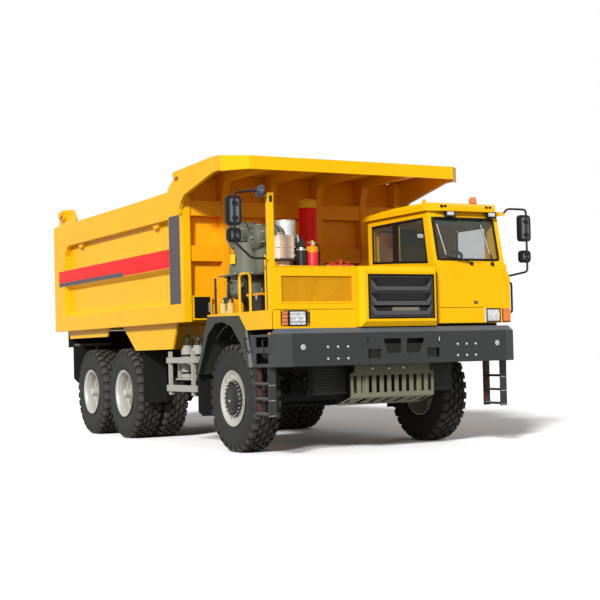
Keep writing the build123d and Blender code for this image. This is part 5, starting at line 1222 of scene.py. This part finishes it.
# Coolers between the bumper and the front axle
cooler = (0.56, 1.02)
shape.block(cooler, (-1.12, -0.98), (0.72, 1.16), "black_chassis")
for k in range(12):
    shape.block(within(cooler, 0.02), (-1.128, -1.118), about(0.745 + 0.39 * k / 11, 0.006), "dark_iron")
shape.block((0.44, 0.60), (-1.10, -1.00), (1.10, 1.20), "black_chassis")
# Shock absorber and brake chamber of the front axle
shape.rod((0.60, -0.16, 0.70), (0.56, -0.30, 0.98), 0.034, "hub_black")
shape.rod((0.56, -0.30, 0.97), (0.52, -0.38, 1.22), 0.042, "black_chassis")
shape.lathe([(0, 0.05), (0.02, 0.085), (0.07, 0.090), (0.075, 0.096), (0.09, 0.096), (0.095, 0.088),
             (0.16, 0.070)],
            (0.80, -0.09, 0.77), (0, -1, 0.15), "black_chassis", 28)
# Leaves of the front springs, and their clamps
for k in range(5):
    low = 0.862 - 0.028 * k
    shape.block((0.372, 0.478), about(0, 0.12 + (0.70 - 0.11 * k) * 0.02), (low - 0.022, low), "dark_iron")
for y in (-0.09, 0.09):
    for x in (0.382, 0.468):
        shape.rod((x, y, 0.69), (x, y, 0.905), 0.012, "worn_steel", 8)
        shape.bolt((x, y, 0.870), UP, 0.018, 0.020, "hub_black")
# Air reservoirs along the frame
for front, rear in ((2.02, 2.42), (2.48, 2.90)):
    shape.lathe([(front, 0.09), (front + 0.02, 0.13), (front + 0.05, 0.145), (rear - 0.05, 0.145),
                 (rear - 0.02, 0.13), (rear, 0.09)], (0.66, 0, 0.98), BACK, "black_chassis")
    for y in (front + 0.09, rear - 0.09):
        shape.disc((0.66, y, 0.98), BACK, 0.146, -0.015, 0.015, "dark_iron", 32)
        shape.block((0.478, 0.56), about(y, 0.02), (0.95, 1.20), "dark_iron")
# Spring brake chambers on the rear axles
for y in (3.8, 5.28):
    shape.lathe([(0, 0.05), (0.02, 0.085), (0.08, 0.092), (0.085, 0.098), (0.10, 0.098), (0.105, 0.088),
                 (0.22, 0.080), (0.23, 0.05)], (0.62, y + 0.16, 0.90), (0, 1, 0.25), "black_chassis", 28)
    shape.rod((0.62, y + 0.05, 0.84), (0.62, y + 0.20, 0.91), 0.020, "dark_iron", 10)
# Battery boxes behind the front axle
shape.block((0.64, 1.10), (0.86, 1.26), (0.56, 1.02), "black_chassis")
shape.block((0.63, 1.11), (0.85, 1.27), (0.96, 1.03), "hub_black")
shape.block((0.47, 0.66), (0.95, 1.17), (0.98, 1.10), "dark_iron")
for y in (0.93, 1.19):
    shape.block((0.636, 1.104), about(y, 0.015), (0.554, 0.97), "dark_iron")
for x, z in ((0.70, 0.66), (0.80, 0.71), (1.02, 0.76)):
    shape.bolt((x, 0.86, z), AHEAD, 0.014, 0.014)
shape.mirrored()
# Pipes along the inside of the rails and hoses of the coolers, which a mirror would give other facets
for side in (-1, 1):
    for z, radius, look in ((1.06, 0.012, "rubber"), (1.11, 0.010, "dark_iron"), (1.16, 0.014, "rubber")):
        shape.rod((side * 0.352, -0.9, z), (side * 0.352, 5.6, z), radius, look, 8)
    shape.tube([(side * 0.62, -1.12, 1.10), (side * 0.62, -1.20, 1.10), (side * 0.55, -1.20, 1.22)], 0.022,
               "rubber", bend=0.04)
# Propeller shaft with its joints
start, stop = (0, 1.25, 0.93), (0, 3.38, 0.80)
shape.rod(start, stop, 0.055, "dark_iron", 24)
for place in (start, stop):
    shape.disc(place, BACK, 0.085, -0.04, 0.04, "hub_black", 20)
# Sump pan with its ribs
shape.prism([(0.52, 0.62), (0.60, 0.52), (1.20, 0.52), (1.28, 0.62), (1.28, 0.86), (0.52, 0.86)], 0,
            (-0.62, 0.62), "black_chassis")
for x in (-0.45, -0.15, 0.15, 0.45):
    shape.block(about(x, 0.02), (0.56, 1.24), (0.508, 0.522), "dark_iron")
shape.piece("underbody", "chassis_paint", bevel=0.002)

# Tail lamps on their boards, and the bolts and strips of the flaps
shape = Shape()
shape.block((0.47, 0.76), (5.80, 5.872), (1.08, 1.44), "black_chassis")
shape.block((0.76, 1.30), (5.80, 5.872), (1.20, 1.44), "black_chassis")
shape.block((0.60, 0.88), (5.868, 5.902), (1.10, 1.26), "hub_black")
for x, look in ((0.645, "brake_red"), (0.735, "brake_red"), (0.825, "amber")):
    shape.lathe([(0, 0.040), (0.018, 0.040), (0.028, 0.032), (0.032, 0.015)], (x, 5.90, 1.18), BACK, look,
                24)
    shape.disc((x, 5.90, 1.18), BACK, 0.044, -0.002, 0.008, "hub_black", 24)
shape.block((0.92, 1.57), (6.148, 6.164), (1.44, 1.478), "worn_edge")
for k in range(5):
    shape.dome((0.98 + 0.13 * k, 6.170, 1.459), BACK, 0.010)
for k in range(4):
    shape.dome((1.27 + 0.13 * k, 0.790, 0.965), BACK, 0.010)
shape.mirrored().piece("tail_lamps", "chassis_paint", bevel=0.002)


# Camera, lights and floor

YAW = math.radians(28.6128)
PITCH = math.radians(1.2064)
ROLL = math.radians(-1.4001)
EYE = Vector((-8.5871, -14.732 + Y0, 1.2729))
LENS_MM = 77.05
SHIFT = (-0.0029, 0.0388)
LIGHT_DISTANCE = 20
# Name, direction, strength and spread in degrees
SUNS = [("key", (0.9, 0.9, -0.66), 3.9, 9), ("fill", (0.1, 0.95, 0.1), 0.55, 60)]
FLOOR_RADIUS = 60
FLOOR_BOUNCE = (0.3, 0.3, 0.3)
FLOOR_WHITE = (1.35, 1.35, 1.35)

forward = Vector((math.sin(YAW) * math.cos(PITCH), math.cos(YAW) * math.cos(PITCH), math.sin(PITCH)))
level = Vector((math.cos(YAW), -math.sin(YAW), 0))
above = level.cross(forward)
right = math.cos(ROLL) * level + math.sin(ROLL) * above
up = -math.sin(ROLL) * level + math.cos(ROLL) * above
camera_data = bpy.data.cameras.new("camera")
camera_data.sensor_width = 36
camera_data.lens = LENS_MM
camera_data.shift_x, camera_data.shift_y = SHIFT
camera_data.clip_end = 200
camera = bpy.data.objects.new("camera", camera_data)
camera.matrix_world = Matrix.Translation(EYE) @ Matrix((right, up, -forward)).transposed().to_4x4()
bpy.context.collection.objects.link(camera)
bpy.context.scene.camera = camera
bpy.context.scene.view_settings.view_transform = "Standard"

for name, direction, strength, spread in SUNS:
    sun = bpy.data.lights.new(name, "SUN")
    sun.energy = strength
    sun.angle = math.radians(spread)
    piece = bpy.data.objects.new(name, sun)
    aim = Vector(direction).normalized()
    turn = aim.to_track_quat("-Z", "Y").to_matrix().to_4x4()
    piece.matrix_world = Matrix.Translation(-aim * LIGHT_DISTANCE) @ turn
    bpy.context.collection.objects.link(piece)


def seen_rays(tree):
    """A socket that is 1 for rays seen directly, through glass or in a shiny face, and 0 for soft light."""
    path = add(tree, "ShaderNodeLightPath")
    socket = path.outputs["Is Camera Ray"]
    for ray in ("Is Transmission Ray", "Is Glossy Ray"):
        either = add(tree, "ShaderNodeMath", operation="MAXIMUM")
        tree.links.new(socket, either.inputs[0])
        tree.links.new(path.outputs[ray], either.inputs[1])
        socket = either.outputs[0]
    return socket


world = bpy.data.worlds.new("studio")
bpy.context.scene.world = world
world.use_nodes = True
tree = world.node_tree
tree.nodes.clear()
soft_light = add(tree, "ShaderNodeBackground", Color=(1, 1, 1, 1), Strength=0.27)
white = add(tree, "ShaderNodeBackground", Color=(1, 1, 1, 1), Strength=1.0)
blend = add(tree, "ShaderNodeMixShader")
tree.links.new(seen_rays(tree), blend.inputs[0])
tree.links.new(soft_light.outputs[0], blend.inputs[1])
tree.links.new(white.outputs[0], blend.inputs[2])
world_out = add(tree, "ShaderNodeOutputWorld")
tree.links.new(blend.outputs[0], world_out.inputs[0])

floor_mesh = bpy.data.meshes.new("floor")
circle = bmesh.new()
bmesh.ops.create_circle(circle, cap_ends=True, segments=64, radius=FLOOR_RADIUS)
circle.to_mesh(floor_mesh)
circle.free()
floor = bpy.data.objects.new("floor", floor_mesh)
bpy.context.collection.objects.link(floor)
tree, shader = new_material("floor")
shader.inputs["Roughness"].default_value = 0.9
shader.inputs["Specular IOR Level"].default_value = 0.0
# The floor looks white, and throws little light up under the truck
floor_look = mix(tree, seen_rays(tree), FLOOR_BOUNCE, FLOOR_WHITE)
tree.links.new(floor_look, shader.inputs["Base Color"])
floor_mesh.materials.append(MATERIALS["floor"])
